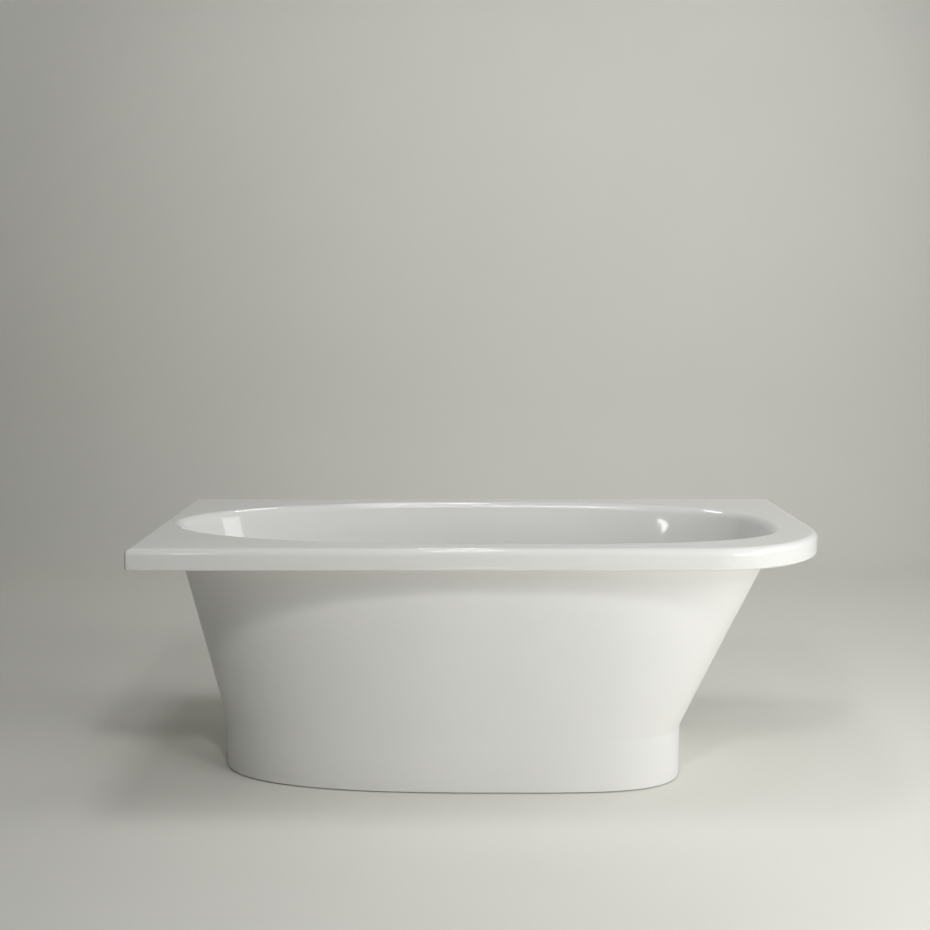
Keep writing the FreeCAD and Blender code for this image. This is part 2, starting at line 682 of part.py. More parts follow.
def spider(radius, hub, bore, bottom, arms):
    """Arms from a hub with a bore out to a ring's inner wall."""
    top = bottom + SPIDER_THICKNESS
    shape = cylinder(hub, vec(0, 0, bottom), UP, SPIDER_THICKNESS)
    half = SPIDER_BAR_WIDTH / 2
    for k in range(arms):
        arm = box(vec(0, -half, bottom), vec(radius, half, top))
        arm.rotate(vec(0, 0, 0), UP, 360.0 * k / arms)
        shape = shape.fuse(arm)
    return shape.cut(cylinder(bore, vec(0, 0, bottom - PAST), UP, SPIDER_THICKNESS + 2 * PAST))


def waste_hole():
    return at_drain(cylinder(WASTE_HOLE_RADIUS, vec(0, 0, BOARD_BOTTOM), UP, DRAIN_HEIGHT))


def make_waste_flange():
    inner = WASTE_TUBE_RADIUS - WASTE_TUBE_WALL
    ring = turned([(inner, TUBE_BOTTOM), (WASTE_TUBE_RADIUS, TUBE_BOTTOM), (WASTE_TUBE_RADIUS, FLANGE_BOTTOM),
                   (WASTE_FLANGE_RADIUS, FLANGE_BOTTOM), (WASTE_FLANGE_RADIUS - FLANGE_BEVEL, FLANGE_TOP),
                   (WASTE_TUBE_RADIUS, FLANGE_TOP), (inner, FLANGE_TOP - FLANGE_DISH)])
    arms_bottom = TUBE_BOTTOM + SPIDER_RISE
    arms = spider(inner + WASTE_TUBE_WALL / 2, HUB_RADIUS, STEM_RADIUS + RUNNING_GAP, arms_bottom,
                  WASTE_SPIDER_ARMS)
    return at_drain(ring.fuse(arms).removeSplitter())


def make_waste_top_seal():
    outer = WASTE_FLANGE_RADIUS - FLANGE_BEVEL
    return at_drain(tube(outer, WASTE_HOLE_RADIUS, DRAIN_HEIGHT, FLANGE_BOTTOM))


def make_waste_bottom_seal():
    return at_drain(tube(BOTTOM_SEAL_RADIUS, WASTE_HOLE_RADIUS, COLLAR_TOP, FLOOR_UNDERSIDE))


def make_waste_body():
    """Cup under the floor with an inlet from the overflow, a cable port and a spigot."""
    thread = WASTE_TUBE_RADIUS + SOCKET_GAP
    collar_bottom = COLLAR_TOP - WASTE_COLLAR_THICKNESS
    bore = PIPE_RADIUS - PIPE_WALL
    outside = turned([(0, SPIGOT_BOTTOM), (PIPE_RADIUS, SPIGOT_BOTTOM), (PIPE_RADIUS, CUP_BOTTOM),
                      (WASTE_CUP_RADIUS, CUP_BOTTOM), (WASTE_CUP_RADIUS, collar_bottom),
                      (WASTE_COLLAR_RADIUS, collar_bottom), (WASTE_COLLAR_RADIUS, COLLAR_TOP),
                      (0, COLLAR_TOP)])
    thread_bottom = COLLAR_TOP - WASTE_THREAD_DEPTH
    inside = turned([(0, SPIGOT_BOTTOM - PAST), (bore, SPIGOT_BOTTOM - PAST), (bore, CUP_FLOOR),
                     (WASTE_CUP_INNER, CUP_FLOOR), (WASTE_CUP_INNER, thread_bottom), (thread, thread_bottom),
                     (thread, COLLAR_TOP + PAST), (0, COLLAR_TOP + PAST)])
    back = vec(0, 1, 0)
    inlet_start = vec(0, 0, INLET_HEIGHT)
    outside = outside.fuse(cylinder(INLET_NECK_RADIUS, inlet_start, back, INLET_REACH))
    socket_start = vec(0, INLET_SOCKET_START, INLET_HEIGHT)
    socket_length = INLET_REACH - INLET_SOCKET_START
    outside = outside.fuse(cylinder(PIPE_RADIUS + PIPE_SOCKET_WALL, socket_start, back, socket_length))
    outside = outside.fuse(cable_port_block(inlet_start, vec(0, CABLE_PORT_REACH, INLET_HEIGHT)))
    socket = cylinder(PIPE_RADIUS + SOCKET_GAP, vec(0, INLET_REACH - PIPE_SOCKET_DEPTH, INLET_HEIGHT), back,
                      PIPE_SOCKET_DEPTH + PAST)
    inlet = cylinder(INLET_BORE_RADIUS, inlet_start, back, INLET_REACH)
    port = cylinder(CABLE_RADIUS + SOCKET_GAP, vec(-CABLE_OFFSET, CABLE_PORT_REACH - CABLE_SEAT_DEPTH,
                                                   INLET_HEIGHT), back, CABLE_SEAT_DEPTH + PAST)
    body = outside.cut(inside).cut(socket).cut(inlet).cut(port)
    return at_drain(body.cut(lever_pin_bar(RUNNING_GAP)).removeSplitter())


def cable_port_block(start, end):
    """A square arm from a cup's side out to the mouth of a cable port."""
    half = CABLE_PORT_WIDTH / 2
    low = vec(-CABLE_OFFSET - half, min(start.y, end.y), min(start.z, end.z) - half)
    return box(low, vec(-CABLE_OFFSET + half, max(start.y, end.y), max(start.z, end.z) + half))


def lever_pin_bar(gap):
    start = vec(-LEVER_PIN_LENGTH / 2 - gap, LEVER_ARM, LEVER_HEIGHT)
    return cylinder(LEVER_PIN_RADIUS + gap, start, vec(1, 0, 0), LEVER_PIN_LENGTH + 2 * gap)


def make_lever_pin():
    return at_drain(lever_pin_bar(0.0))


def make_lift_lever():
    """Flat arm from the pin to just past the stem, shown with the plug shut."""
    half_width, half_thickness = LEVER_WIDTH / 2, LEVER_THICKNESS / 2
    pivot = vec(0, LEVER_ARM, LEVER_HEIGHT)
    arm = box(vec(-half_width, -LEVER_TIP, LEVER_HEIGHT - half_thickness),
              vec(half_width, LEVER_ARM, LEVER_HEIGHT + half_thickness))
    hub = cylinder(LEVER_HUB_RADIUS, pivot - vec(half_width, 0, 0), vec(1, 0, 0), LEVER_WIDTH)
    lever = arm.fuse(hub)
    lever.rotate(pivot, vec(1, 0, 0), LEVER_SWING)
    return at_drain(lever.cut(lever_pin_bar(RUNNING_GAP)).removeSplitter())


def make_plug_cap():
    """Cap with a domed top and a flat underside, where the seal and the stem meet it."""
    top = PLUG_BOTTOM + PLUG_EDGE
    crown = vec(0, 0, top + PLUG_CROWN)
    dome = (PLUG_RADIUS ** 2 + PLUG_CROWN ** 2) / (2 * PLUG_CROWN)
    half = math.asin(PLUG_RADIUS / dome) / 2
    middle = vec(dome * math.sin(half), 0, crown.z - dome * (1 - math.cos(half)))
    rim = vec(PLUG_RADIUS, 0, top)
    edges = [arc(crown, middle, rim), line(rim, vec(PLUG_RADIUS, 0, PLUG_BOTTOM)),
             line(vec(PLUG_RADIUS, 0, PLUG_BOTTOM), vec(0, 0, PLUG_BOTTOM)),
             line(vec(0, 0, PLUG_BOTTOM), crown)]
    return at_drain(Part.Face(Part.Wire(edges)).revolve(vec(0, 0, 0), UP, 360))


def make_plug_seal():
    return at_drain(tube(PLUG_SEAL_OUTER, PLUG_SEAL_INNER, PLUG_BOTTOM - PLUG_SEAL_THICKNESS, PLUG_BOTTOM))


def make_plug_stem():
    """Round bar with a ball end that rides on the lever."""
    centre = STEM_BOTTOM + STEM_RADIUS
    bar = cylinder(STEM_RADIUS, vec(0, 0, centre), UP, PLUG_BOTTOM - centre)
    return at_drain(bar.fuse(Part.makeSphere(STEM_RADIUS, vec(0, 0, centre))).removeSplitter())


# Overflow, built along the wall's outward normal from its bathing side

OVERFLOW_Y = basin_outline(OVERFLOW_HEIGHT, 0.0).back
OVERFLOW_TILT = math.degrees(math.atan(WALL_LEAN.back))
SEAL_START = LAMINATE_OUTER + FLAT_BOND
CUP_START = SEAL_START + OVERFLOW_SEAL_THICKNESS
CUP_END = CUP_START + OVERFLOW_CUP_DEPTH
KNOB_BACK = -FLAT_BOND - OVERFLOW_FLANGE_THICKNESS - KNOB_STANDOFF
KNOB_FRONT = KNOB_BACK - KNOB_DEPTH
CRANK_START = SPINDLE_REACH - CRANK_THICKNESS - CRANK_END_GAP
PIPE_Y = OVERFLOW_Y + SEAL_START + PIPE_RADIUS + PIPE_SOCKET_WALL + OVERFLOW_PIPE_CLEARANCE


def at_overflow(shape):
    copy = shape.copy()
    copy.Placement = FreeCAD.Placement(vec(DRAIN_X, OVERFLOW_Y, OVERFLOW_HEIGHT),
                                       FreeCAD.Rotation(vec(1, 0, 0), -90 - OVERFLOW_TILT))
    return copy


def overflow_hole():
    return at_overflow(cylinder(OVERFLOW_HOLE_RADIUS, vec(0, 0, -LAMINATE_OUTER), UP, 3 * LAMINATE_OUTER))


def make_overflow_flange():
    inner = OVERFLOW_TUBE_RADIUS - OVERFLOW_TUBE_WALL
    front = -FLAT_BOND - OVERFLOW_FLANGE_THICKNESS
    ring = turned([(inner, front), (OVERFLOW_FLANGE_RADIUS - FLANGE_BEVEL, front),
                   (OVERFLOW_FLANGE_RADIUS, -FLAT_BOND), (OVERFLOW_TUBE_RADIUS, -FLAT_BOND),
                   (OVERFLOW_TUBE_RADIUS, OVERFLOW_TUBE_REACH), (inner, OVERFLOW_TUBE_REACH)])
    arms = spider(inner + OVERFLOW_TUBE_WALL / 2, SPINDLE_HUB_RADIUS, SPINDLE_RADIUS + RUNNING_GAP,
                  LAMINATE_OUTER, OVERFLOW_SPIDER_ARMS)
    return at_overflow(ring.fuse(arms).removeSplitter())


def make_overflow_knob():
    """Round cap that stands off the flange, with a finger grip across its face."""
    cap = cylinder(KNOB_RADIUS, vec(0, 0, KNOB_FRONT), UP, KNOB_DEPTH)
    cap = rounded_at(cap, KNOB_FRONT, KNOB_EDGE_RADIUS)
    grip = box(vec(-GRIP_LENGTH / 2, -GRIP_WIDTH / 2, KNOB_FRONT - GRIP_HEIGHT),
               vec(GRIP_LENGTH / 2, GRIP_WIDTH / 2, KNOB_FRONT))
    corners = [edge for edge in grip.Edges
               if abs(edge.Vertexes[0].Z - edge.Vertexes[-1].Z) > GRIP_HEIGHT / 2]
    grip = grip.makeFillet(GRIP_WIDTH / 2 - RUNNING_GAP, corners)
    grip = rounded_at(grip, KNOB_FRONT - GRIP_HEIGHT, GRIP_EDGE_RADIUS)
    seat = cylinder(SPINDLE_RADIUS + RUNNING_GAP, vec(0, 0, KNOB_BACK - SPINDLE_IN_KNOB), UP, KNOB_DEPTH)
    return at_overflow(cap.fuse(grip).cut(seat).removeSplitter())


def make_knob_spindle():
    start = KNOB_BACK - SPINDLE_IN_KNOB
    return at_overflow(cylinder(SPINDLE_RADIUS, vec(0, 0, start), UP, SPINDLE_REACH - start))


def make_cable_crank():
    crank = tube(CRANK_RADIUS, SPINDLE_RADIUS + RUNNING_GAP, CRANK_START, CRANK_START + CRANK_THICKNESS)
    pin = cylinder(CRANK_PIN_RADIUS, vec(CRANK_PIN_OFFSET, 0, CRANK_START), UP,
                   CRANK_THICKNESS + CRANK_PIN_LENGTH)
    return at_overflow(crank.fuse(pin).removeSplitter())


def make_overflow_seal():
    return at_overflow(tube(OVERFLOW_SEAL_RADIUS, OVERFLOW_HOLE_RADIUS, SEAL_START, CUP_START))


def make_overflow_body():
    """Cup behind the wall, with an upright spigot for the pipe and a port for the cable."""
    inner = OVERFLOW_CUP_RADIUS - OVERFLOW_CUP_WALL
    thread = OVERFLOW_TUBE_RADIUS + SOCKET_GAP
    collar_end = CUP_START + OVERFLOW_COLLAR_THICKNESS
    thread_end = CUP_START + OVERFLOW_THREAD_DEPTH
    outside = turned([(0, CUP_START), (OVERFLOW_COLLAR_RADIUS, CUP_START),
                      (OVERFLOW_COLLAR_RADIUS, collar_end), (OVERFLOW_CUP_RADIUS, collar_end),
                      (OVERFLOW_CUP_RADIUS, CUP_END), (0, CUP_END)])
    inside = turned([(0, CUP_START - PAST), (thread, CUP_START - PAST), (thread, thread_end),
                     (inner, thread_end), (inner, CUP_END - OVERFLOW_CUP_WALL),
                     (0, CUP_END - OVERFLOW_CUP_WALL)])
    bottom = OVERFLOW_HEIGHT - OVERFLOW_SPIGOT_DROP
    spigot = cylinder(PIPE_RADIUS + PIPE_SOCKET_WALL, vec(DRAIN_X, PIPE_Y, bottom), UP, OVERFLOW_SPIGOT_DROP)
    socket = cylinder(PIPE_RADIUS + SOCKET_GAP, vec(DRAIN_X, PIPE_Y, bottom - PAST), UP,
                      PIPE_SOCKET_DEPTH + PAST)
    bore = cylinder(PIPE_RADIUS - PIPE_WALL, vec(DRAIN_X, PIPE_Y, bottom), UP, OVERFLOW_SPIGOT_DROP)
    port_top = vec(0, PIPE_Y, OVERFLOW_HEIGHT - CABLE_PORT_TOP - CABLE_PORT_WIDTH / 2)
    port_end = vec(0, PIPE_Y, OVERFLOW_HEIGHT - CABLE_PORT_DROP + CABLE_PORT_WIDTH / 2)
    half = CABLE_PORT_WIDTH / 2
    port = cable_port_block(port_top - vec(0, half, 0), port_end + vec(0, half, 0))
    port = moved(port, DRAIN_X, 0)
    seat = cylinder(CABLE_RADIUS + SOCKET_GAP, vec(DRAIN_X - CABLE_OFFSET, PIPE_Y,
                                                   OVERFLOW_HEIGHT - CABLE_PORT_DROP - PAST),
                    UP, CABLE_SEAT_DEPTH + PAST)
    body = at_overflow(outside).fuse(spigot).fuse(port).cut(at_overflow(inside))
    return body.cut(socket).cut(bore).cut(seat).removeSplitter()


# Pipes, nuts and cable

def overflow_route(x, top, end):
    """Down from the overflow, round one bend and forward under the floor to the waste."""
    radius = PIPE_BEND_RADIUS
    diagonal = radius * math.sqrt(0.5)
    bend_top = vec(x, PIPE_Y, INLET_HEIGHT + radius)
    bend_middle = vec(x, PIPE_Y - radius + diagonal, INLET_HEIGHT + radius - diagonal)
    bend_end = vec(x, PIPE_Y - radius, INLET_HEIGHT)
    return [line(vec(x, PIPE_Y, top), bend_top), arc(bend_top, bend_middle, bend_end),
            line(bend_end, vec(x, end, INLET_HEIGHT))]


def make_overflow_pipe():
    top = OVERFLOW_HEIGHT - OVERFLOW_SPIGOT_DROP + PIPE_SOCKET_DEPTH
    end = CENTRE_Y + INLET_REACH - PIPE_SOCKET_DEPTH
    route = overflow_route(DRAIN_X, top, end)
    return swept(route, PIPE_RADIUS).cut(swept(route, PIPE_RADIUS - PIPE_WALL))


def union_nut(grip_radius):
    """Ribbed nut: a sleeve over the fitting below its foot at 0, closed in round the pipe above."""
    outer = grip_radius + NUT_WALL - NUT_RIB_RADIUS
    nut = cylinder(outer, vec(0, 0, -NUT_GRIP), UP, NUT_GRIP + NUT_CAP)
    for k in range(NUT_RIBS):
        turn = 2 * math.pi * k / NUT_RIBS
        foot = vec(outer * math.cos(turn), outer * math.sin(turn), -NUT_GRIP)
        nut = nut.fuse(cylinder(NUT_RIB_RADIUS, foot, UP, NUT_GRIP + NUT_CAP))
    nut = nut.cut(cylinder(grip_radius + SOCKET_GAP, vec(0, 0, -NUT_GRIP - PAST), UP, NUT_GRIP + PAST))
    pipe_hole = cylinder(PIPE_RADIUS + SOCKET_GAP, vec(0, 0, -PAST), UP, NUT_CAP + 2 * PAST)
    return nut.cut(pipe_hole).removeSplitter()


def facing(shape, place, axis):
    copy = shape.copy()
    copy.Placement = FreeCAD.Placement(place, FreeCAD.Rotation(UP, axis))
    return copy


def make_pipe_nuts():
    nut = union_nut(PIPE_RADIUS + PIPE_SOCKET_WALL)
    upper = vec(DRAIN_X, PIPE_Y, OVERFLOW_HEIGHT - OVERFLOW_SPIGOT_DROP)
    lower = vec(DRAIN_X, CENTRE_Y + INLET_REACH, INLET_HEIGHT)
    return Part.makeCompound([facing(nut, upper, vec(0, 0, -1)), facing(nut, lower, vec(0, 1, 0))])


def make_release_cable():
    top = OVERFLOW_HEIGHT - CABLE_PORT_DROP + CABLE_SEAT_DEPTH
    end = CENTRE_Y + CABLE_PORT_REACH - CABLE_SEAT_DEPTH
    return swept(overflow_route(DRAIN_X - CABLE_OFFSET, top, end), CABLE_RADIUS)


def make_cable_clips():
    """Each clip holds the cable beside the pipe."""
    half = CLIP_WIDTH / 2
    pipe_ring = PIPE_RADIUS + SOCKET_GAP + CLIP_WALL
    cable_ring = CABLE_RADIUS + SOCKET_GAP + CLIP_WALL
    link = box(vec(-CABLE_OFFSET, -CLIP_WALL / 2, -half), vec(-PIPE_RADIUS, CLIP_WALL / 2, half))
    clip = cylinder(pipe_ring, vec(0, 0, -half), UP, CLIP_WIDTH).fuse(link)
    clip = clip.fuse(cylinder(cable_ring, vec(-CABLE_OFFSET, 0, -half), UP, CLIP_WIDTH))
    for x, radius in ((0, PIPE_RADIUS), (-CABLE_OFFSET, CABLE_RADIUS)):
        clip = clip.cut(cylinder(radius + SOCKET_GAP, vec(x, 0, -half - PAST), UP, CLIP_WIDTH + 2 * PAST))
    clip = clip.removeSplitter()
    bend_top = INLET_HEIGHT + PIPE_BEND_RADIUS
    upper_nut = OVERFLOW_HEIGHT - OVERFLOW_SPIGOT_DROP - NUT_CAP
    spacing = (upper_nut - bend_top) / (CLIP_COUNT + 1)
    clips = [moved(clip, DRAIN_X, PIPE_Y, bend_top + spacing * (k + 1)) for k in range(CLIP_COUNT)]
    level = clip.copy()
    level.rotate(vec(0, 0, 0), vec(1, 0, 0), 90)
    lower_nut = CENTRE_Y + INLET_REACH + NUT_CAP
    bend_end = PIPE_Y - PIPE_BEND_RADIUS
    clips.append(moved(level, DRAIN_X, (lower_nut + bend_end) / 2, INLET_HEIGHT))
    return Part.makeCompound(clips)


# Trap and outlet

OUTLET_X = DRAIN_X + 2 * TRAP_BEND_RADIUS
TRAP_END = LEG_BOTTOM + TRAP_RISE
ELBOW_RADIUS = PIPE_RADIUS + ELBOW_INNER_RADIUS
OUTLET_HEIGHT = TRAP_END + ELBOW_LEAD + ELBOW_RADIUS
ELBOW_END = CENTRE_Y + ELBOW_RADIUS + ELBOW_REACH
OUTLET_END = RIM_WIDTH / 2 - OUTLET_BACK_GAP


def make_trap_bend():
    middle = vec(DRAIN_X + TRAP_BEND_RADIUS, CENTRE_Y, LEG_BOTTOM - TRAP_BEND_RADIUS)
    inlet = vec(DRAIN_X, CENTRE_Y, LEG_BOTTOM)
    outlet = vec(OUTLET_X, CENTRE_Y, LEG_BOTTOM)
    route = [line(vec(DRAIN_X, CENTRE_Y, SPIGOT_BOTTOM), inlet), arc(inlet, middle, outlet),
             line(outlet, vec(OUTLET_X, CENTRE_Y, TRAP_END))]
    front = vec(0, -1, 0)
    boss = cylinder(CLEAN_BOSS_RADIUS, middle, front, CLEAN_BOSS_REACH)
    hole = cylinder(CLEAN_BOSS_BORE, middle, front, CLEAN_BOSS_REACH + PAST)
    bend = swept(route, PIPE_RADIUS).fuse(boss)
    return bend.cut(swept(route, PIPE_RADIUS - PIPE_WALL)).cut(hole).removeSplitter()


def make_cleaning_cap():
    place = vec(DRAIN_X + TRAP_BEND_RADIUS, CENTRE_Y - CLEAN_BOSS_REACH, LEG_BOTTOM - TRAP_BEND_RADIUS)
    lid = cylinder(CLEAN_CAP_RADIUS, vec(0, 0, 0), UP, CLEAN_CAP_THICKNESS)
    plug = cylinder(CLEAN_BOSS_BORE - SOCKET_GAP, vec(0, 0, -CLEAN_CAP_THICKNESS), UP, CLEAN_CAP_THICKNESS)
    return facing(lid.fuse(plug).removeSplitter(), place, vec(0, -1, 0))


def make_trap_nut(place, axis):
    return facing(union_nut(PIPE_RADIUS), place, axis)


def make_outlet_elbow():
    start = vec(OUTLET_X, CENTRE_Y, TRAP_END)
    bend_start = vec(OUTLET_X, CENTRE_Y, TRAP_END + ELBOW_LEAD)
    diagonal = ELBOW_RADIUS * math.sqrt(0.5)
    middle = vec(OUTLET_X, CENTRE_Y + ELBOW_RADIUS - diagonal, bend_start.z + diagonal)
    bend_end = vec(OUTLET_X, CENTRE_Y + ELBOW_RADIUS, OUTLET_HEIGHT)
    route = [line(start, bend_start), arc(bend_start, middle, bend_end),
             line(bend_end, vec(OUTLET_X, ELBOW_END, OUTLET_HEIGHT))]
    return swept(route, PIPE_RADIUS).cut(swept(route, PIPE_RADIUS - PIPE_WALL))


def make_outlet_pipe():
    """Straight pipe to the wall, with a stop collar behind its plain end."""
    length = OUTLET_END - ELBOW_END
    collar = length - OUTLET_SPIGOT - OUTLET_COLLAR_WIDTH
    pipe = cylinder(PIPE_RADIUS, vec(0, 0, 0), UP, length)
    pipe = pipe.fuse(cylinder(OUTLET_COLLAR_RADIUS, vec(0, 0, collar), UP, OUTLET_COLLAR_WIDTH))
    pipe = pipe.cut(cylinder(PIPE_RADIUS - PIPE_WALL, vec(0, 0, -PAST), UP, length + 2 * PAST))
    return facing(pipe, vec(OUTLET_X, ELBOW_END, OUTLET_HEIGHT), vec(0, 1, 0))


def build():
    nodes = {
        "bath_shell": make_bath_shell(),
        "glass_fibre_layer": make_glass_fibre_layer(),
        "rim_closing_frame": make_rim_closing_frame(),
        "rim_battens": make_rim_battens(),
        "skirt": make_skirt(),
        "base_board": make_base_board(),
        "foot_end_bar": make_bar("foot_end"),
        "head_end_bar": make_bar("head_end"),
        "bar_screws": make_bar_screws(),
        "weld_nuts": make_rod_nuts(WEB_BOTTOM - WELD_NUT_HEIGHT, WELD_NUT_HEIGHT),
        "lock_nuts": make_rod_nuts(WEB_BOTTOM - WELD_NUT_HEIGHT - LOCK_NUT_HEIGHT, LOCK_NUT_HEIGHT),
        "skirt_blocks": make_skirt_blocks(),
        "waste_flange": make_waste_flange(),
        "waste_top_seal": make_waste_top_seal(),
        "waste_bottom_seal": make_waste_bottom_seal(),
        "waste_body": make_waste_body(),
        "lever_pin": make_lever_pin(),
        "lift_lever": make_lift_lever(),
        "plug_cap": make_plug_cap(),
        "plug_seal": make_plug_seal(),
        "plug_stem": make_plug_stem(),
        "overflow_flange": make_overflow_flange(),
        "overflow_knob": make_overflow_knob(),
        "knob_spindle": make_knob_spindle(),
        "cable_crank": make_cable_crank(),
        "overflow_seal": make_overflow_seal(),
        "overflow_body": make_overflow_body(),
        "overflow_pipe": make_overflow_pipe(),
        "pipe_nuts": make_pipe_nuts(),
        "release_cable": make_release_cable(),
        "cable_clips": make_cable_clips(),
        "trap_bend": make_trap_bend(),
        "cleaning_cap": make_cleaning_cap(),
        "trap_inlet_nut": make_trap_nut(vec(DRAIN_X, CENTRE_Y, SPIGOT_BOTTOM), vec(0, 0, -1)),
        "trap_outlet_nut": make_trap_nut(vec(OUTLET_X, CENTRE_Y, TRAP_END), UP),
        "outlet_elbow": make_outlet_elbow(),
        "elbow_nut": make_trap_nut(vec(OUTLET_X, ELBOW_END, OUTLET_HEIGHT), vec(0, 1, 0)),
        "outlet_pipe": make_outlet_pipe(),
    }
    for place, (x, y) in foot_places().items():
        nodes["foot_rod_" + place] = moved(make_foot_rod(), x, y)
        nodes["foot_pad_" + place] = moved(make_foot_pad(), x, y)
        nodes["foot_sole_" + place] = moved(make_foot_sole(), x, y)
    return nodes


def main():
    os.makedirs("parts", exist_ok=True)
    for name, shape in build().items():
        if not shape.isValid():
            print("not valid:", name)
        shape.exportStep("parts/" + name + ".step")
    print("plug lift", round(PLUG_LIFT, 3), "lever pivot at z", round(LEVER_HEIGHT, 3))
    print("overflow at y", round(OVERFLOW_Y, 3), "leaning", round(OVERFLOW_TILT, 4), "degrees")


main()
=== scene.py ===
import bmesh
import bpy
import json
import math
from collections import namedtuple
from mathutils import Matrix, Vector


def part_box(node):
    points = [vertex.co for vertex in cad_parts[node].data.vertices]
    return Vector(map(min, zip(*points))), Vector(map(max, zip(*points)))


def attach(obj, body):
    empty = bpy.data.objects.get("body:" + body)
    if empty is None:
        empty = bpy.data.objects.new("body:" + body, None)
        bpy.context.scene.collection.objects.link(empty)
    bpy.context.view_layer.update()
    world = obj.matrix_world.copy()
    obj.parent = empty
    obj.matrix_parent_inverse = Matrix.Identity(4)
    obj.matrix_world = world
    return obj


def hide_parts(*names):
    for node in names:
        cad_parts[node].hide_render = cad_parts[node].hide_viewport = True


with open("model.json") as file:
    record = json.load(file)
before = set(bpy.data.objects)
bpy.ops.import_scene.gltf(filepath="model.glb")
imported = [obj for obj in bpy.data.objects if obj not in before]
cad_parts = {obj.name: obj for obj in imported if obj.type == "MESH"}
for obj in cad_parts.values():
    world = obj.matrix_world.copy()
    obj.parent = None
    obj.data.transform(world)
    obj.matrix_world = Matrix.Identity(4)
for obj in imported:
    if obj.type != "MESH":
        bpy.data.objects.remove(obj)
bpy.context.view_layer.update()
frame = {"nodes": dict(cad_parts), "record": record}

# A back-to-wall bath with an oval basin, an oval skirt that leans in to an upright plinth, and
# the waste, overflow, backing and adjustable feet that belong to it. Metres, +Z up.

Sides = namedtuple("Sides", "left right front back")
Oval = namedtuple("Oval", "left right front back widest left_fullness right_fullness swing",
                  defaults=(0.0,))
Corner = namedtuple("Corner", "x y radius start steps straight")

# Rim
RIM_LENGTH = 1.600
RIM_WIDTH = 0.750
RIM_TOP = 0.600
RIM_UNDERSIDE = 0.550
UPPER_ROUNDING = 0.016
UPPER_BEND = 0.584
LOWER_ROUNDING = 0.006
LOWER_BEND = 0.556
SEAM_HEIGHT = 0.558
SEAM_EASE = 0.0005
WALL_CORNER = 0.007
TIGHTEST_CORNER = 0.0015
FREE_CORNER = 0.300
ACRYLIC = 0.005
RUN_OUT = 0.001

# Skirt and plinth
SKIRT_TOP = Oval(-0.754, 0.696, -0.318, 0.300, -0.030, 2.3, 3.2)
PLINTH = Oval(-0.644, 0.480, -0.275, 0.257, 0.040, 2.7, 3.9)
PLINTH_HEIGHT = 0.124
PLINTH_EASE = 0.003
FLOOR_GAP = 0.003
SKIRT_WALL = 0.004
SKIRT_RETURN = 0.020
SERVICE_LEFT = -0.260
SERVICE_RIGHT = 0.200
SERVICE_TOP = 0.520

# Basin
BASIN_FULLNESS_LEFT = 2.15
BASIN_FULLNESS_RIGHT = 2.8
BASIN_SWING = 0.030
SKIRT_CLEARANCE = Sides(left=0.010, right=0.013, front=0.012, back=0.002)
LAMINATE_OUTER = 0.0083
FRAME_CLEARANCE = 0.001
WALL_LEAN = Sides(left=0.300128, right=0.559450, front=0.130619, back=0.130619)
LIP_HEIGHT = 0.582
LIP_RADIUS = 0.018
HEEL_HEIGHT = 0.246
HEEL_RADIUS = 0.090
HEEL_RUN = Sides(left=0.070, right=0.100, front=0.070, back=0.070)
DRAIN_X = -0.030
DRAIN_Y = -0.009
DRAIN_HEIGHT = 0.150
DRAIN_SEAT = 0.045
WASTE_HOLE = 0.027
OVERFLOW_PLACE = Vector((-0.030, 0.271915, 0.445))
OVERFLOW_TILT = 7.4417
OVERFLOW_HOLE = 0.028
CUTTER_DEPTH = 6 * LAMINATE_OUTER
LAMINATE_INNER = 0.0053

# Waste and plug, measured from the drain's axis
AT_DRAIN = Matrix.Translation((DRAIN_X, DRAIN_Y, 0.0))
WASTE_BORE = 0.021
WASTE_TUBE = 0.024
WASTE_FLANGE = 0.036
WASTE_TUBE_BOTTOM = 0.1195
WASTE_FLANGE_BOTTOM = 0.1505
WASTE_FLANGE_TOP = 0.153
WASTE_DISH = 0.002
WASTE_HUB = 0.007
WASTE_HUB_BORE = 0.00405
WASTE_ARMS = 4
SPIDER_THICKNESS = 0.005
SPIDER_ARM = 0.004
SPIDER_RAISE = 0.002
SPIDER_BITE = 0.0015
FLANGE_BEVEL = 0.001
CHROME_EASE = 0.0004
PLUG_RADIUS = 0.032
PLUG_UNDERSIDE = 0.1552
PLUG_CROWN = 0.1616
CROWN_RADIUS = 0.130
PLUG_GROOVE = 0.0275
GROOVE_HALF = 0.0004
DOME_STEPS = 10
PLUG_EASE = 0.0003

# Overflow, measured from the wall's bathing side, outwards through the wall
OVERFLOW_TURN = Matrix.Rotation(math.radians(-90 - OVERFLOW_TILT), 4, "X")
AT_OVERFLOW = Matrix.Translation(OVERFLOW_PLACE) @ OVERFLOW_TURN
OVERFLOW_BORE = 0.022
OVERFLOW_TUBE = 0.025
OVERFLOW_FLANGE = 0.034
OVERFLOW_FACE = -0.0028
OVERFLOW_SEAT = -0.0003
OVERFLOW_TUBE_END = 0.025
OVERFLOW_HUB = 0.009
OVERFLOW_HUB_BORE = 0.00505
OVERFLOW_ARMS = 3
KNOB_RADIUS = 0.032
KNOB_BACK = -0.0098
KNOB_FRONT = -0.0198
KNOB_EDGE = 0.003
KNOB_GROOVE = 0.0262
GRIP_LENGTH = 0.046
GRIP_WIDTH = 0.009
GRIP_HEIGHT = 0.007
GRIP_END_SHARE = 0.49
GRIP_END_STEPS = 8
GRIP_EDGE = 0.00225
GRIP_EDGE_STEPS = 5
FLUTE_AREA = 1e-5
FLUTE_SLOPE = 0.01
FLUTE_MARGIN = 0.0003
FLUTE_DEPTH = 0.0005

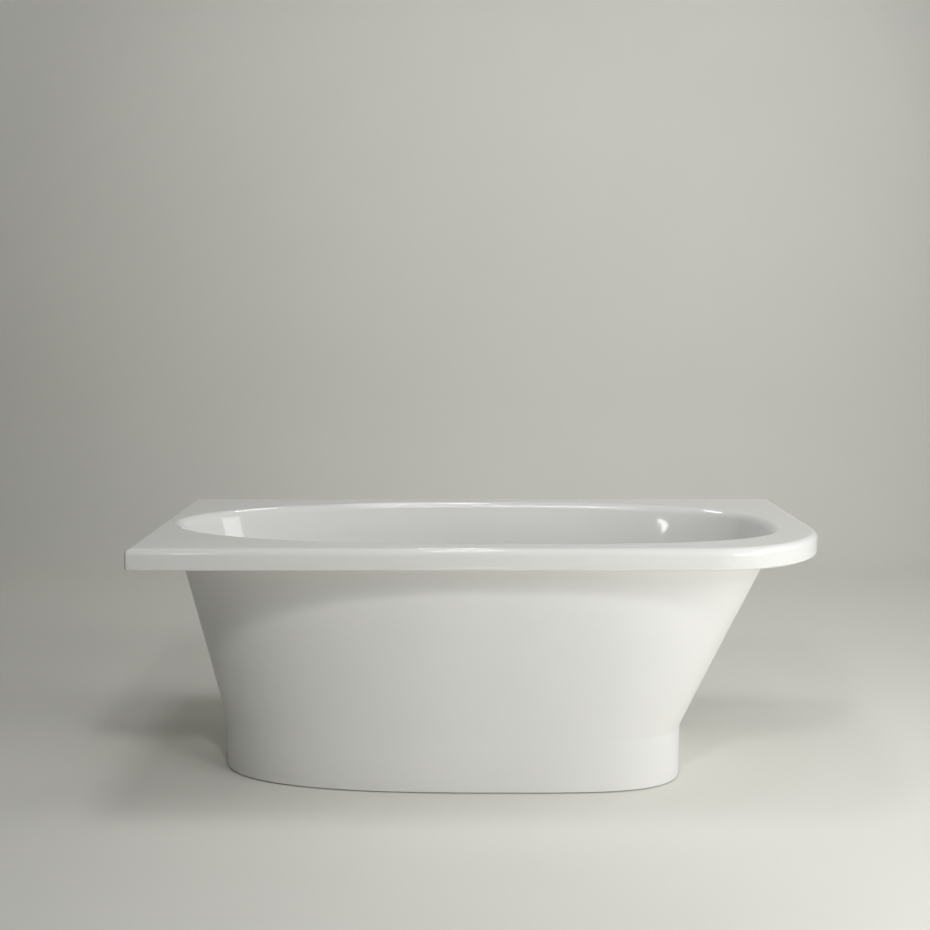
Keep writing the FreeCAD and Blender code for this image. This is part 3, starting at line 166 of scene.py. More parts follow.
# Feet, measured up from the floor
FOOT_PLACES = ("front_left", "front_right", "back_left", "back_right")
THREAD_PITCH = 0.00175
THREAD_CREST = 0.006
THREAD_CORE = 0.0051
SPANNER_WIDTH = 0.014
SPANNER_BOTTOM = 0.030
SPANNER_TOP = 0.039
SPANNER_EASE = 0.0006
PAD_RADIUS = 0.024
PAD_BOSS = 0.011
PAD_BORE = 0.00605
PAD_SEAT = 0.010
PAD_TOP = 0.026
PAD_RIM = 0.011
PAD_BEVEL = 0.002
PAD_NECK = 0.013
PAD_NECK_HEIGHT = 0.015
PAD_EASE = 0.0004
PAD_RIBS = 8
RIB_BITE = 0.001
RIB_HALF = 0.001
RIB_MARGIN = 0.003
RIB_BOTTOM = 0.0125
RIB_TOP = 0.022
RIB_FALL = 0.0085
SOLE_RADIUS = 0.025
SOLE_TOP = 0.004
SOLE_GROOVES = (0.0205, 0.0155, 0.0105, 0.0055)
TREAD_HALF = 0.0009
TREAD_DEPTH = 0.0012
SOLE_EASE = 0.0003

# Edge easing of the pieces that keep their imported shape
EASED_WIDTHS = dict(
    rim_battens=0.0012, skirt_blocks=0.0012, base_board=0.0008,
    foot_end_bar=0.0006, head_end_bar=0.0006, bar_screws=0.0004,
    weld_nuts=0.0006, lock_nuts=0.0006,
    waste_top_seal=0.0001, waste_bottom_seal=0.0004, waste_body=0.0005,
    lever_pin=0.0003, lift_lever=0.0004, plug_seal=0.0004, plug_stem=0.0004,
    knob_spindle=0.0004, cable_crank=0.0004, overflow_seal=0.0004, overflow_body=0.0005,
    overflow_pipe=0.0003, pipe_nuts=0.0004, release_cable=0.0002, cable_clips=0.0003,
    trap_bend=0.0005, cleaning_cap=0.0005, trap_inlet_nut=0.0004, trap_outlet_nut=0.0004,
    outlet_elbow=0.0005, elbow_nut=0.0004, outlet_pipe=0.0004,
)

# Fineness of the meshes
OVAL_STEPS = 288
FLOOR_STEPS = 10
HEEL_STEPS = 12
WALL_STEPS = 12
LIP_STEPS = 10
EDGE_STEPS = 8
SKIRT_STEPS = 14
EASE_STEPS = 6
PLINTH_STEPS = 5
TURN_STEPS = 96
THREAD_STEPS = 28
WELD = 1e-6
SHARP_ANGLE = math.radians(35)
EASED_ANGLE = math.radians(32)
FLAT_ANGLE = math.radians(0.5)

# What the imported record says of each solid
SLOT_OF = {part["node"]: part["material_slot"] for part in frame["record"]["subparts"]}
BODY_OF = {node: body for body, nodes in frame["record"]["behaviour"]["bodies"].items() for node in nodes}

# Camera and studio
CAMERA_PLACE = Vector((-0.0472, -3.1733, 1.1322))
CAMERA_DIP = 0.123
CAMERA_LENS = 50.0
CAMERA_SENSOR = 36.0
BATH_MIDDLE = (0.0, 0.0, 0.42)
FLOOR_FRONT = -6.0
FLOOR_BACK = 2.25
COVE_RADIUS = 0.7
BACKDROP_TOP = 5.0
STAGE_WIDTH = 14.0
COVE_STEPS = 16
AIR_LIGHT = 0.01
AIR_SEEN = 0.42
AIR_COLOUR = (0.9, 0.895, 0.86, 1)
BLACK = (0, 0, 0, 1)
# Painted glow: where the stage turns black and emits the air's pale colour to the eye
GLOW_CENTRE = (0.0, 0.9, 0.0)
GLOW_STRETCH = (1.25, 1.0, 0.8)
GLOW_START = 3.6
GLOW_END = 5.0


# Mesh helpers

def ring_edges(bm, ring):
    return [bm.edges.get(pair) for pair in zip(ring, ring[1:] + ring[:1])]


def new_ring(bm, points):
    """A closed ring of edges through the points."""
    ring = bmesh.ops.create_circle(bm, segments=len(points))["verts"]
    for vert, point in zip(ring, points):
        vert.co = point
    return ring


def next_ring(bm, ring, points):
    """Extrudes a ring of edges and sets the new ring on its points."""
    made = bmesh.ops.extrude_edge_only(bm, edges=ring_edges(bm, ring))["geom"]
    fresh = {item for item in made if isinstance(item, bmesh.types.BMVert)}
    following = []
    for vert, point in zip(ring, points):
        far = next(edge.other_vert(vert) for edge in vert.link_edges if edge.other_vert(vert) in fresh)
        far.co = point
        following.append(far)
    return following


def skin(bm, rings):
    """A wall drawn through rings of points. Gives its first and last ring."""
    first = new_ring(bm, rings[0])
    last = first
    for points in rings[1:]:
        last = next_ring(bm, last, points)
    return first, last


def closed_skin(bm, rings):
    """A wall drawn through rings of points and back to its first ring."""
    skin(bm, rings + rings[:1])
    bmesh.ops.remove_doubles(bm, verts=bm.verts, dist=WELD)


def fill_between(bm, outer, inner):
    """Flat sheet between two level rings that need not have as many points."""
    edges = ring_edges(bm, outer) + ring_edges(bm, inner)
    bmesh.ops.triangle_fill(bm, use_beauty=True, edges=edges, normal=(0, 0, 1))


def mark_crisp_edges(bm):
    for edge in bm.edges:
        edge.smooth = len(edge.link_faces) != 2 or edge.calc_face_angle() < SHARP_ANGLE


def mesh_object(bm, name):
    """A new object from the mesh, smooth except along its crisp edges."""
    bmesh.ops.recalc_face_normals(bm, faces=bm.faces)
    for face in bm.faces:
        face.smooth = True
    mark_crisp_edges(bm)
    mesh = bpy.data.meshes.new(name)
    bm.to_mesh(mesh)
    bm.free()
    obj = bpy.data.objects.new(name, mesh)
    bpy.context.scene.collection.objects.link(obj)
    return obj


def cut_away(obj, cutter):
    """Cuts one closed shape out of another and drops the cutter."""
    modifier = obj.modifiers.new("cut", "BOOLEAN")
    modifier.operation = "DIFFERENCE"
    modifier.solver = "EXACT"
    modifier.object = cutter
    depsgraph = bpy.context.evaluated_depsgraph_get()
    mesh = bpy.data.meshes.new_from_object(obj.evaluated_get(depsgraph))
    obj.modifiers.remove(modifier)
    bm = bmesh.new()
    bm.from_mesh(mesh)
    mark_crisp_edges(bm)
    bm.to_mesh(mesh)
    bm.free()
    obj.data = mesh
    bpy.data.objects.remove(cutter)


def stand_in(obj, node):
    """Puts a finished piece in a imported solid's place, with its body and its finish."""
    obj.data.materials.clear()
    obj.data.materials.append(FINISHES[SLOT_OF[node]])
    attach(obj, BODY_OF[node])
    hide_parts(node)


def set_in_place(bm, matrix, name, node):
    """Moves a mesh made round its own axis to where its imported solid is."""
    bmesh.ops.transform(bm, matrix=matrix, verts=bm.verts)
    stand_in(mesh_object(bm, name), node)


# Outlines

def at_height(ring, height):
    return [Vector((point.x, point.y, height)) for point in ring]


def grown(oval, amounts):
    return oval._replace(left=oval.left - amounts.left, right=oval.right + amounts.right,
                         front=oval.front - amounts.front, back=oval.back + amounts.back)


def same(amount):
    return Sides(amount, amount, amount, amount)


def by_side(rule, *groups):
    return Sides(*(rule(*values) for values in zip(*groups)))


def oval_ring(oval, height):
    """Points round an oval whose left and right halves are fuller than an ellipse."""
    middle = (oval.front + oval.back) / 2
    half_width = (oval.back - oval.front) / 2
    points = []
    for step in range(OVAL_STEPS):
        turn = math.tau * step / OVAL_STEPS
        along, across = math.cos(turn), math.sin(turn)
        reach = oval.right - oval.widest if along > 0 else oval.widest - oval.left
        fullness = oval.right_fullness if along > 0 else oval.left_fullness
        size = (abs(along) ** fullness + abs(across) ** fullness) ** (-1 / fullness)
        x = oval.widest + reach * size * along
        y = middle + half_width * size * across - oval.swing * max(size * along, 0.0) ** 2
        points.append(Vector((x, y, height)))
    return points


def drain_ring(radius, height):
    left, right = DRAIN_X - radius, DRAIN_X + radius
    return oval_ring(Oval(left, right, DRAIN_Y - radius, DRAIN_Y + radius, DRAIN_X, 2.0, 2.0), height)


RIM_CORNERS = (
    Corner(1, -1, FREE_CORNER, -90, 56, 12),
    Corner(1, 1, WALL_CORNER, 0, 10, 48),
    Corner(-1, 1, WALL_CORNER, 90, 10, 24),
    Corner(-1, -1, WALL_CORNER, 180, 10, 40),
)


def rim_ring(inset, height):
    """The rim's plan, drawn in from its faces: three small corners and the large free one."""
    arcs = []
    for corner in RIM_CORNERS:
        radius = max(corner.radius - inset, TIGHTEST_CORNER)
        centre_x = corner.x * (RIM_LENGTH / 2 - inset - radius)
        centre_y = corner.y * (RIM_WIDTH / 2 - inset - radius)
        arc = []
        for step in range(corner.steps + 1):
            turn = math.radians(corner.start + 90 * step / corner.steps)
            x = centre_x + radius * math.cos(turn)
            y = centre_y + radius * math.sin(turn)
            arc.append(Vector((x, y, height)))
        arcs.append(arc)
    points = []
    for corner, arc, following in zip(RIM_CORNERS, arcs, arcs[1:] + arcs[:1]):
        points += arc
        points += [arc[-1].lerp(following[0], share) for share in between(0.0, 1.0, corner.straight)]
    return points


def edge_rounding(inset, height, radius, rise, start, end):
    """Rim rings round a quarter turn, upright at 0 degrees and level at 90."""
    rings = []
    for step in range(EDGE_STEPS + 1):
        turn = math.radians(start + (end - start) * step / EDGE_STEPS)
        drawn_in = inset + radius * (1 - math.cos(turn))
        rings.append(rim_ring(drawn_in, height + rise * radius * math.sin(turn)))
    return rings


def slant(lean):
    """Level distance through a leaning wall for each unit of its thickness."""
    return math.sqrt(1 + lean * lean)


def basin_oval(height, offset):
    """The basin's leaning wall at a height, set outwards from the bathing side by an offset."""
    top = SKIRT_TOP._replace(left_fullness=BASIN_FULLNESS_LEFT, right_fullness=BASIN_FULLNESS_RIGHT,
                             swing=BASIN_SWING)

    def growth(lean, clearance):
        stack = (LAMINATE_OUTER - offset) * slant(lean)
        return lean * (height - RIM_UNDERSIDE) - SKIRT_WALL - clearance - stack

    return grown(top, by_side(growth, WALL_LEAN, SKIRT_CLEARANCE))


def lip_ring(angle, offset, beyond=0.0):
    """The rounded lip: 0 degrees at the wall, 90 where it runs out into the deck."""
    turn = math.radians(angle)
    height = LIP_HEIGHT + (LIP_RADIUS - offset) * math.sin(turn)

    def growth(lean):
        return (LIP_RADIUS - offset * (slant(lean) - lean)) * (1 - math.cos(turn)) + beyond

    return oval_ring(grown(basin_oval(height, offset), by_side(growth, WALL_LEAN)), height)


def heel_ring(angle, offset):
    """The rounding from wall to floor: 0 degrees at the wall, 90 at the floor's edge."""
    turn = math.radians(angle)
    height = HEEL_HEIGHT - (HEEL_RADIUS + offset) * math.sin(turn)

    def growth(lean, run):
        return -(run + offset * (slant(lean) - lean)) * (1 - math.cos(turn))

    return oval_ring(grown(basin_oval(height, offset), by_side(growth, WALL_LEAN, HEEL_RUN)), height)


def between(first, last, steps):
    """Even steps between two ends, both left out."""
    return [first + (last - first) * step / steps for step in range(1, steps)]


def basin_rings(offset):
    """Up from the waste hole over the floor, heel and wall, at one offset."""
    seat_height = DRAIN_HEIGHT - offset
    seat = drain_ring(DRAIN_SEAT, seat_height)
    floor_edge = heel_ring(90, offset)
    rings = [drain_ring(WASTE_HOLE, seat_height), drain_ring(DRAIN_SEAT - RUN_OUT, seat_height), seat]
    for share in between(0.0, 1.0, FLOOR_STEPS):
        ring = [near.lerp(far, share) for near, far in zip(seat, floor_edge)]
        rise = share * share * (3 - 2 * share)
        for point in ring:
            point.z = seat_height + (floor_edge[0].z - seat_height) * rise
        rings.append(ring)
    rings.append(floor_edge)
    rings += [heel_ring(angle, offset) for angle in between(90, 0, HEEL_STEPS)]
    rings.append(heel_ring(0, offset))
    for height in between(HEEL_HEIGHT, LIP_HEIGHT, WALL_STEPS):
        rings.append(oval_ring(basin_oval(height, offset), height))
    rings.append(lip_ring(0, offset))
    return rings


def mouth_rings(offset):
    """Over the rounded lip and out onto the deck."""
    rings = [lip_ring(angle, offset) for angle in between(0, 90, LIP_STEPS)]
    return rings + [lip_ring(90, offset), lip_ring(90, offset, RUN_OUT)]


# Rim, basin and skirt

def make_bath_shell():
    """Acrylic sheet: basin, lip, deck and the upper half of the rim's rounded edge."""
    bm = bmesh.new()
    under = basin_rings(ACRYLIC) + mouth_rings(ACRYLIC)
    mouth_under, mouth = skin(bm, under[::-1] + basin_rings(0.0) + mouth_rings(0.0))
    rings = [rim_ring(UPPER_ROUNDING + RUN_OUT, RIM_TOP)]
    rings += edge_rounding(0.0, UPPER_BEND, UPPER_ROUNDING, 1, 90, 0)
    rings += [rim_ring(0.0, UPPER_BEND - RUN_OUT), rim_ring(0.0, SEAM_HEIGHT + SEAM_EASE)]
    rings += [rim_ring(SEAM_EASE, SEAM_HEIGHT), rim_ring(ACRYLIC, SEAM_HEIGHT)]
    rings += edge_rounding(ACRYLIC, UPPER_BEND, UPPER_ROUNDING - ACRYLIC, 1, 0, 90)
    rings += [rim_ring(UPPER_ROUNDING + RUN_OUT, RIM_TOP - ACRYLIC)]
    deck, deck_under = skin(bm, rings)
    fill_between(bm, deck, mouth)
    fill_between(bm, deck_under, mouth_under)
    shell = mesh_object(bm, "bath_shell_acrylic")
    cut_away(shell, overflow_cutter())
    stand_in(shell, "bath_shell")


def make_glass_fibre_layer():
    """Resin and glass on the back of the basin, up to the start of its lip."""
    bm = bmesh.new()
    closed_skin(bm, basin_rings(LAMINATE_INNER)[::-1] + basin_rings(LAMINATE_OUTER))
    layer = mesh_object(bm, "glass_fibre_backing")
    cut_away(layer, overflow_cutter())
    stand_in(layer, "glass_fibre_layer")


def overflow_cutter():
    bm = bmesh.new()
    bmesh.ops.create_cone(bm, cap_ends=True, segments=TURN_STEPS, radius1=OVERFLOW_HOLE,
                          radius2=OVERFLOW_HOLE, depth=CUTTER_DEPTH)
    bmesh.ops.transform(bm, matrix=AT_OVERFLOW, verts=bm.verts)
    return mesh_object(bm, "overflow_cutter")


def make_closing_frame():
    """Lower half of the rim's edge and the flat underside round the skirt."""
    bm = bmesh.new()
    floor_top = RIM_UNDERSIDE + ACRYLIC
    opening = grown(basin_oval(floor_top, LAMINATE_OUTER), same(FRAME_CLEARANCE))
    wider = grown(opening, same(RUN_OUT))
    rings = [rim_ring(LOWER_ROUNDING + RUN_OUT, floor_top)]
    rings += edge_rounding(ACRYLIC, LOWER_BEND, LOWER_ROUNDING - ACRYLIC, -1, 90, 0)
    rings += [rim_ring(ACRYLIC, SEAM_HEIGHT), rim_ring(SEAM_EASE, SEAM_HEIGHT)]
    rings += [rim_ring(0.0, SEAM_HEIGHT - SEAM_EASE)]
    rings += edge_rounding(0.0, LOWER_BEND, LOWER_ROUNDING, -1, 0, 90)
    rings += [rim_ring(LOWER_ROUNDING + RUN_OUT, RIM_UNDERSIDE)]
    top, underside = skin(bm, rings)
    lower, upper = skin(bm, [oval_ring(wider, RIM_UNDERSIDE), oval_ring(opening, RIM_UNDERSIDE),
                             oval_ring(opening, floor_top), oval_ring(wider, floor_top)])
    fill_between(bm, underside, lower)
    fill_between(bm, top, upper)
    stand_in(mesh_object(bm, "rim_closing_edge"), "rim_closing_frame")


def skirt_wall_rings(inset, foot):
    """Down the leaning wall, round the soft break and down the plinth to its foot."""
    top = oval_ring(grown(SKIRT_TOP, same(-inset)), RIM_UNDERSIDE)
    turn_in = oval_ring(grown(PLINTH, same(-inset)), PLINTH_HEIGHT)
    rings = [top]
    ease_share = PLINTH_EASE / (RIM_UNDERSIDE - PLINTH_HEIGHT)
    for share in between(0.0, 1.0 - ease_share, SKIRT_STEPS):
        rings.append([upper.lerp(lower, share) for upper, lower in zip(top, turn_in)])
    start = [upper.lerp(lower, 1.0 - ease_share) for upper, lower in zip(top, turn_in)]
    end = at_height(turn_in, PLINTH_HEIGHT - PLINTH_EASE)
    for step in range(EASE_STEPS + 1):
        share = step / EASE_STEPS
        rings.append([first.lerp(middle, share).lerp(middle.lerp(last, share), share)
                      for first, middle, last in zip(start, turn_in, end)])
    for height in between(PLINTH_HEIGHT - PLINTH_EASE, foot, PLINTH_STEPS):
        rings.append(at_height(turn_in, height))
    rings.append(at_height(turn_in, foot))
    return rings


def make_skirt():
    bm = bmesh.new()
    under = FLOOR_GAP + SKIRT_WALL
    rings = skirt_wall_rings(0.0, FLOOR_GAP + SEAM_EASE)
    rings.append(oval_ring(grown(PLINTH, same(-SEAM_EASE)), FLOOR_GAP))
    return_edge = grown(PLINTH, same(-SKIRT_RETURN))
    rings += [oval_ring(return_edge, FLOOR_GAP), oval_ring(return_edge, under)]
    rings += skirt_wall_rings(SKIRT_WALL, under)[::-1]
    closed_skin(bm, rings)
    skirt = mesh_object(bm, "skirt_panel")
    bm = bmesh.new()
    add_block(bm, (SERVICE_LEFT, DRAIN_Y, -SKIRT_RETURN), (SERVICE_RIGHT, RIM_WIDTH / 2, SERVICE_TOP))
    cut_away(skirt, mesh_object(bm, "service_cutter"))
    stand_in(skirt, "skirt")


# Waste, overflow and feet

def turned(bm, outline):
    """Spins an outline of (radius, height). It is closed first unless both its ends lie on the axis."""
    verts = [bm.verts.new((radius, 0.0, height)) for radius, height in outline]
    pairs = list(zip(verts, verts[1:]))
    if outline[0][0] > 0.0:
        pairs.append((verts[-1], verts[0]))
    edges = [bm.edges.new(pair) for pair in pairs]
    bmesh.ops.spin(bm, geom=verts + edges, cent=(0, 0, 0), axis=(0, 0, 1), angle=math.tau,
                   steps=TURN_STEPS, use_merge=True)
    bmesh.ops.remove_doubles(bm, verts=bm.verts, dist=WELD)
    bmesh.ops.recalc_face_normals(bm, faces=bm.faces)


def ease(bm, edges, width, segments=3):
    """Rounds the edges by a width."""
    bmesh.ops.bevel(bm, geom=edges, offset=width, offset_type="OFFSET", affect="EDGES", segments=segments,
                    profile=0.5, material=-1, clamp_overlap=True)


def crisp_edges(bm):
    return [edge for edge in bm.edges
            if len(edge.link_faces) == 2 and edge.calc_face_angle() > EASED_ANGLE]


def add_block(bm, low, high):
    """A box between two corners. Gives its vertices."""
    verts = bmesh.ops.create_cube(bm, size=1.0)["verts"]
    size = Matrix.Diagonal((Vector(high) - Vector(low)).to_4d())
    middle = Matrix.Translation((Vector(low) + Vector(high)) / 2)
    bmesh.ops.transform(bm, matrix=middle @ size, verts=verts)
    return verts


def swing_round(bm, verts, share):
    """Turns vertices about the upright axis by a share of a full turn."""
    bmesh.ops.rotate(bm, cent=(0, 0, 0), matrix=Matrix.Rotation(math.tau * share, 3, "Z"), verts=verts)


def add_spider(bm, ring, hub, bore, bottom, arms):
    """A bored hub on arms that reach into the ring round it."""
    top = bottom + SPIDER_THICKNESS
    reach = ring + SPIDER_BITE
    turned(bm, [(bore, bottom), (hub, bottom), (hub, top), (bore, top)])
    for arm in range(arms):
        verts = add_block(bm, (hub - SPIDER_ARM / 4, -SPIDER_ARM / 2, bottom),
                          (reach, SPIDER_ARM / 2, top))
        swing_round(bm, verts, arm / arms)


def make_waste_flange():
    """Polished ring in the basin floor, with the guide for the plug's stem."""
    bm = bmesh.new()
    turned(bm, [(WASTE_BORE, WASTE_TUBE_BOTTOM), (WASTE_TUBE, WASTE_TUBE_BOTTOM),
                (WASTE_TUBE, WASTE_FLANGE_BOTTOM), (WASTE_FLANGE, WASTE_FLANGE_BOTTOM),
                (WASTE_FLANGE - FLANGE_BEVEL, WASTE_FLANGE_TOP), (WASTE_TUBE, WASTE_FLANGE_TOP),
                (WASTE_BORE, WASTE_FLANGE_TOP - WASTE_DISH)])
    add_spider(bm, WASTE_BORE, WASTE_HUB, WASTE_HUB_BORE, WASTE_TUBE_BOTTOM + SPIDER_RAISE, WASTE_ARMS)
    ease(bm, crisp_edges(bm), CHROME_EASE)
    set_in_place(bm, AT_DRAIN, "waste_flange_ring", "waste_flange")


def crown_height(radius):
    """Height of the plug's domed top at a radius."""
    return PLUG_CROWN - CROWN_RADIUS + math.sqrt(CROWN_RADIUS ** 2 - radius ** 2)


def make_plug_cap():
    """Domed cap with a fine turned groove near its edge."""
    bm = bmesh.new()
    outline = [(0.0, PLUG_UNDERSIDE), (PLUG_RADIUS, PLUG_UNDERSIDE)]
    outline += [(radius, crown_height(radius)) for radius in (PLUG_RADIUS, PLUG_GROOVE + GROOVE_HALF)]
    outline.append((PLUG_GROOVE, crown_height(PLUG_GROOVE) - GROOVE_HALF))
    for step in range(DOME_STEPS):
        radius = (PLUG_GROOVE - GROOVE_HALF) * (1 - step / DOME_STEPS)
        outline.append((radius, crown_height(radius)))
    outline.append((0.0, PLUG_CROWN))
    turned(bm, outline)
    ease(bm, crisp_edges(bm), PLUG_EASE)
    set_in_place(bm, AT_DRAIN, "plug_cap_dome", "plug_cap")


def make_overflow_flange():
    bm = bmesh.new()
    turned(bm, [(OVERFLOW_BORE, OVERFLOW_FACE), (OVERFLOW_FLANGE - FLANGE_BEVEL, OVERFLOW_FACE),
                (OVERFLOW_FLANGE, OVERFLOW_SEAT), (OVERFLOW_TUBE, OVERFLOW_SEAT),
                (OVERFLOW_TUBE, OVERFLOW_TUBE_END), (OVERFLOW_BORE, OVERFLOW_TUBE_END)])
    add_spider(bm, OVERFLOW_BORE, OVERFLOW_HUB, OVERFLOW_HUB_BORE, LAMINATE_OUTER, OVERFLOW_ARMS)
    ease(bm, crisp_edges(bm), CHROME_EASE)
    set_in_place(bm, AT_OVERFLOW, "overflow_flange_ring", "overflow_flange")


def make_overflow_knob():
    """Fluted round cap with a ring groove and a finger grip across its face."""
    bm = bmesh.new()
    outline = [(0.0, KNOB_BACK), (KNOB_RADIUS, KNOB_BACK)]
    for step in range(EDGE_STEPS + 1):
        turn = math.radians(90 * step / EDGE_STEPS)
        radius = KNOB_RADIUS - KNOB_EDGE * (1 - math.cos(turn))
        outline.append((radius, KNOB_FRONT + KNOB_EDGE * (1 - math.sin(turn))))
    outline += [(KNOB_GROOVE + GROOVE_HALF, KNOB_FRONT), (KNOB_GROOVE, KNOB_FRONT + GROOVE_HALF)]
    outline += [(KNOB_GROOVE - GROOVE_HALF, KNOB_FRONT), (0.0, KNOB_FRONT)]
    turned(bm, outline)
    side = [face for face in bm.faces
            if abs(face.normal.z) < FLUTE_SLOPE and face.calc_area() > FLUTE_AREA]
    side.sort(key=lambda face: math.atan2(face.calc_center_median().y, face.calc_center_median().x))
    bmesh.ops.inset_individual(bm, faces=side[::2], thickness=FLUTE_MARGIN, depth=-FLUTE_DEPTH)
    grip = add_block(bm, (-GRIP_LENGTH / 2, -GRIP_WIDTH / 2, KNOB_FRONT - GRIP_HEIGHT),
                     (GRIP_LENGTH / 2, GRIP_WIDTH / 2, KNOB_FRONT + GROOVE_HALF))
    sides = {edge for vert in grip for edge in vert.link_edges}
    upright = [edge for edge in sides if abs(edge.verts[0].co.z - edge.verts[1].co.z) > GRIP_HEIGHT / 2]
    ease(bm, upright, GRIP_WIDTH * GRIP_END_SHARE, GRIP_END_STEPS)
    half_up = KNOB_FRONT - GRIP_HEIGHT / 2
    front = [edge for edge in bm.edges if max(vert.co.z for vert in edge.verts) < half_up]
    ease(bm, [edge for edge in front if edge.calc_face_angle() > EASED_ANGLE], GRIP_EDGE, GRIP_EDGE_STEPS)
    set_in_place(bm, AT_OVERFLOW, "overflow_knob_cap", "overflow_knob")


def foot_axis(node):
    """Moves a shape made round the upright axis to where a foot's solid stands."""
    low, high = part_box(node)
    return Matrix.Translation(((low.x + high.x) / 2, (low.y + high.y) / 2, 0.0))


def make_foot_rod(place):
    """Threaded rod with a hexagon for the spanner."""
    node = "foot_rod_" + place
    low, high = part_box(node)
    bm = bmesh.new()
    corner = SPANNER_WIDTH / math.sqrt(3)
    flats = bmesh.ops.create_cone(bm, cap_ends=True, segments=6, radius1=corner, radius2=corner,
                                  depth=SPANNER_TOP - SPANNER_BOTTOM)["verts"]
    bmesh.ops.translate(bm, vec=(0, 0, (SPANNER_TOP + SPANNER_BOTTOM) / 2), verts=flats)
    ease(bm, crisp_edges(bm), SPANNER_EASE)
    hexagon = set(bm.verts)
    verts = []
    for turn in range(math.ceil((high.z - low.z) / THREAD_PITCH) + 2):
        foot = low.z + THREAD_PITCH * (turn - 1)
        verts.append(bm.verts.new((THREAD_CORE, 0, foot)))
        verts.append(bm.verts.new((THREAD_CREST, 0, foot + THREAD_PITCH / 2)))
    edges = [bm.edges.new(pair) for pair in zip(verts, verts[1:])]
    bmesh.ops.spin(bm, geom=verts + edges, cent=(0, 0, 0), axis=(0, 0, 1), angle=math.tau,
                   steps=THREAD_STEPS, dvec=(0, 0, THREAD_PITCH / THREAD_STEPS), use_merge=False)
    thread = [vert for vert in bm.verts if vert not in hexagon]
    bmesh.ops.remove_doubles(bm, verts=thread, dist=WELD)
    for height, side in ((low.z, -1), (high.z, 1)):
        cut = bmesh.ops.bisect_plane(bm, geom=bm.verts[:] + bm.edges[:] + bm.faces[:], dist=WELD,
                                     plane_co=(0, 0, height), plane_no=(0, 0, side), clear_outer=True)
        rim = [item for item in cut["geom_cut"] if isinstance(item, bmesh.types.BMEdge)]
        bmesh.ops.contextual_create(bm, geom=rim)
    set_in_place(bm, foot_axis(node), "foot_thread_" + place, node)


def make_foot_pad(place):
    """Moulded foot with ribs between its boss and its plate."""
    node = "foot_pad_" + place
    bm = bmesh.new()
    turned(bm, [(0.0, SOLE_TOP), (PAD_RADIUS, SOLE_TOP), (PAD_RADIUS, PAD_RIM),
                (PAD_RADIUS - PAD_BEVEL, PAD_RIM + PAD_BEVEL), (PAD_NECK, PAD_NECK_HEIGHT),
                (PAD_BOSS, PAD_TOP), (PAD_BORE, PAD_TOP), (PAD_BORE, PAD_SEAT), (0.0, PAD_SEAT)])
    for rib in range(PAD_RIBS):
        verts = add_block(bm, (PAD_BOSS - RIB_BITE, -RIB_HALF, RIB_BOTTOM),
                          (PAD_RADIUS - RIB_MARGIN, RIB_HALF, RIB_TOP))
        outer = [vert for vert in verts if vert.co.x > PAD_BOSS and vert.co.z > RIB_BOTTOM + RIB_FALL]
        bmesh.ops.translate(bm, vec=(0, 0, -RIB_FALL), verts=outer)
        swing_round(bm, verts, rib / PAD_RIBS)
    ease(bm, crisp_edges(bm), PAD_EASE, 2)
    set_in_place(bm, foot_axis(node), "foot_plate_" + place, node)


def make_foot_sole(place):
    """Rubber disc with grooves in its tread."""
    node = "foot_sole_" + place
    bm = bmesh.new()
    outline = [(0.0, SOLE_TOP), (SOLE_RADIUS, SOLE_TOP), (SOLE_RADIUS, 0.0)]
    for groove in SOLE_GROOVES:
        outline += [(groove + TREAD_HALF, 0.0), (groove + TREAD_HALF, TREAD_DEPTH)]
        outline += [(groove - TREAD_HALF, TREAD_DEPTH), (groove - TREAD_HALF, 0.0)]
    outline.append((0.0, 0.0))
    turned(bm, outline)
    ease(bm, crisp_edges(bm), SOLE_EASE, 2)
    set_in_place(bm, foot_axis(node), "foot_tread_" + place, node)


def make_eased_copy(node, width):
    """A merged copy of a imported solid, smooth where it curves and eased along its crisp edges."""
    bm = bmesh.new()
    bm.from_mesh(frame["nodes"][node].data)
    bmesh.ops.remove_doubles(bm, verts=bm.verts, dist=WELD)
    bmesh.ops.dissolve_limit(bm, angle_limit=FLAT_ANGLE, verts=bm.verts, edges=bm.edges)
    ease(bm, crisp_edges(bm), width, 2)
    stand_in(mesh_object(bm, node + "_eased"), node)


# Finishes

Tint = namedtuple("Tint", "light dark patch")
Marks = namedtuple("Marks", "clean marked patch")
Relief = namedtuple("Relief", "waves grain depth")
Wear = namedtuple("Wear", "colour amount")

PAPER_TINT = Tint((0.84, 0.836, 0.780), (0.825, 0.822, 0.768), 1.5)
PAPER_ROUGHNESS = 0.7
DUST_COLOUR = (0.55, 0.53, 0.49, 1)
DUST_ROUGHNESS = 0.9
STRAND_TURNS = ((0, 0, 12), (48, 22, 71), (112, 64, 133), (31, 83, 158), (75, 140, 40))
STRAND_SHOWN = 0.75
ZINC_FROST = 0.15
SIDE_BATTEN = 0.74
COLOUR_SOCKETS = ("Light", "Dark", "Color")
GROUPS = {}
FINISHES = {}


def add(tree, kind, inputs=None, **settings):
    """A node with its settings. An input is a value, or the output that feeds it."""
    made = tree.nodes.new("ShaderNode" + kind)
    for name, value in settings.items():
        setattr(made, name, value)
    for name, value in (inputs or {}).items():
        if isinstance(value, bpy.types.NodeSocket):
            tree.links.new(value, made.inputs[name])
        else:
            made.inputs[name].default_value = value
    return made


def new_group(name, inputs, outputs):
    """Keeps an empty node group. Gives the tree, its input sockets and its output sockets."""
    tree = bpy.data.node_groups.new(name, "ShaderNodeTree")
    GROUPS[name] = tree
    for side, labels in (("INPUT", inputs), ("OUTPUT", outputs)):
        for label in labels.split():
            kind = "NodeSocketColor" if label in COLOUR_SOCKETS else "NodeSocketFloat"
            tree.interface.new_socket(label, in_out=side, socket_type=kind)
    return tree, tree.nodes.new("NodeGroupInput").outputs, tree.nodes.new("NodeGroupOutput").inputs


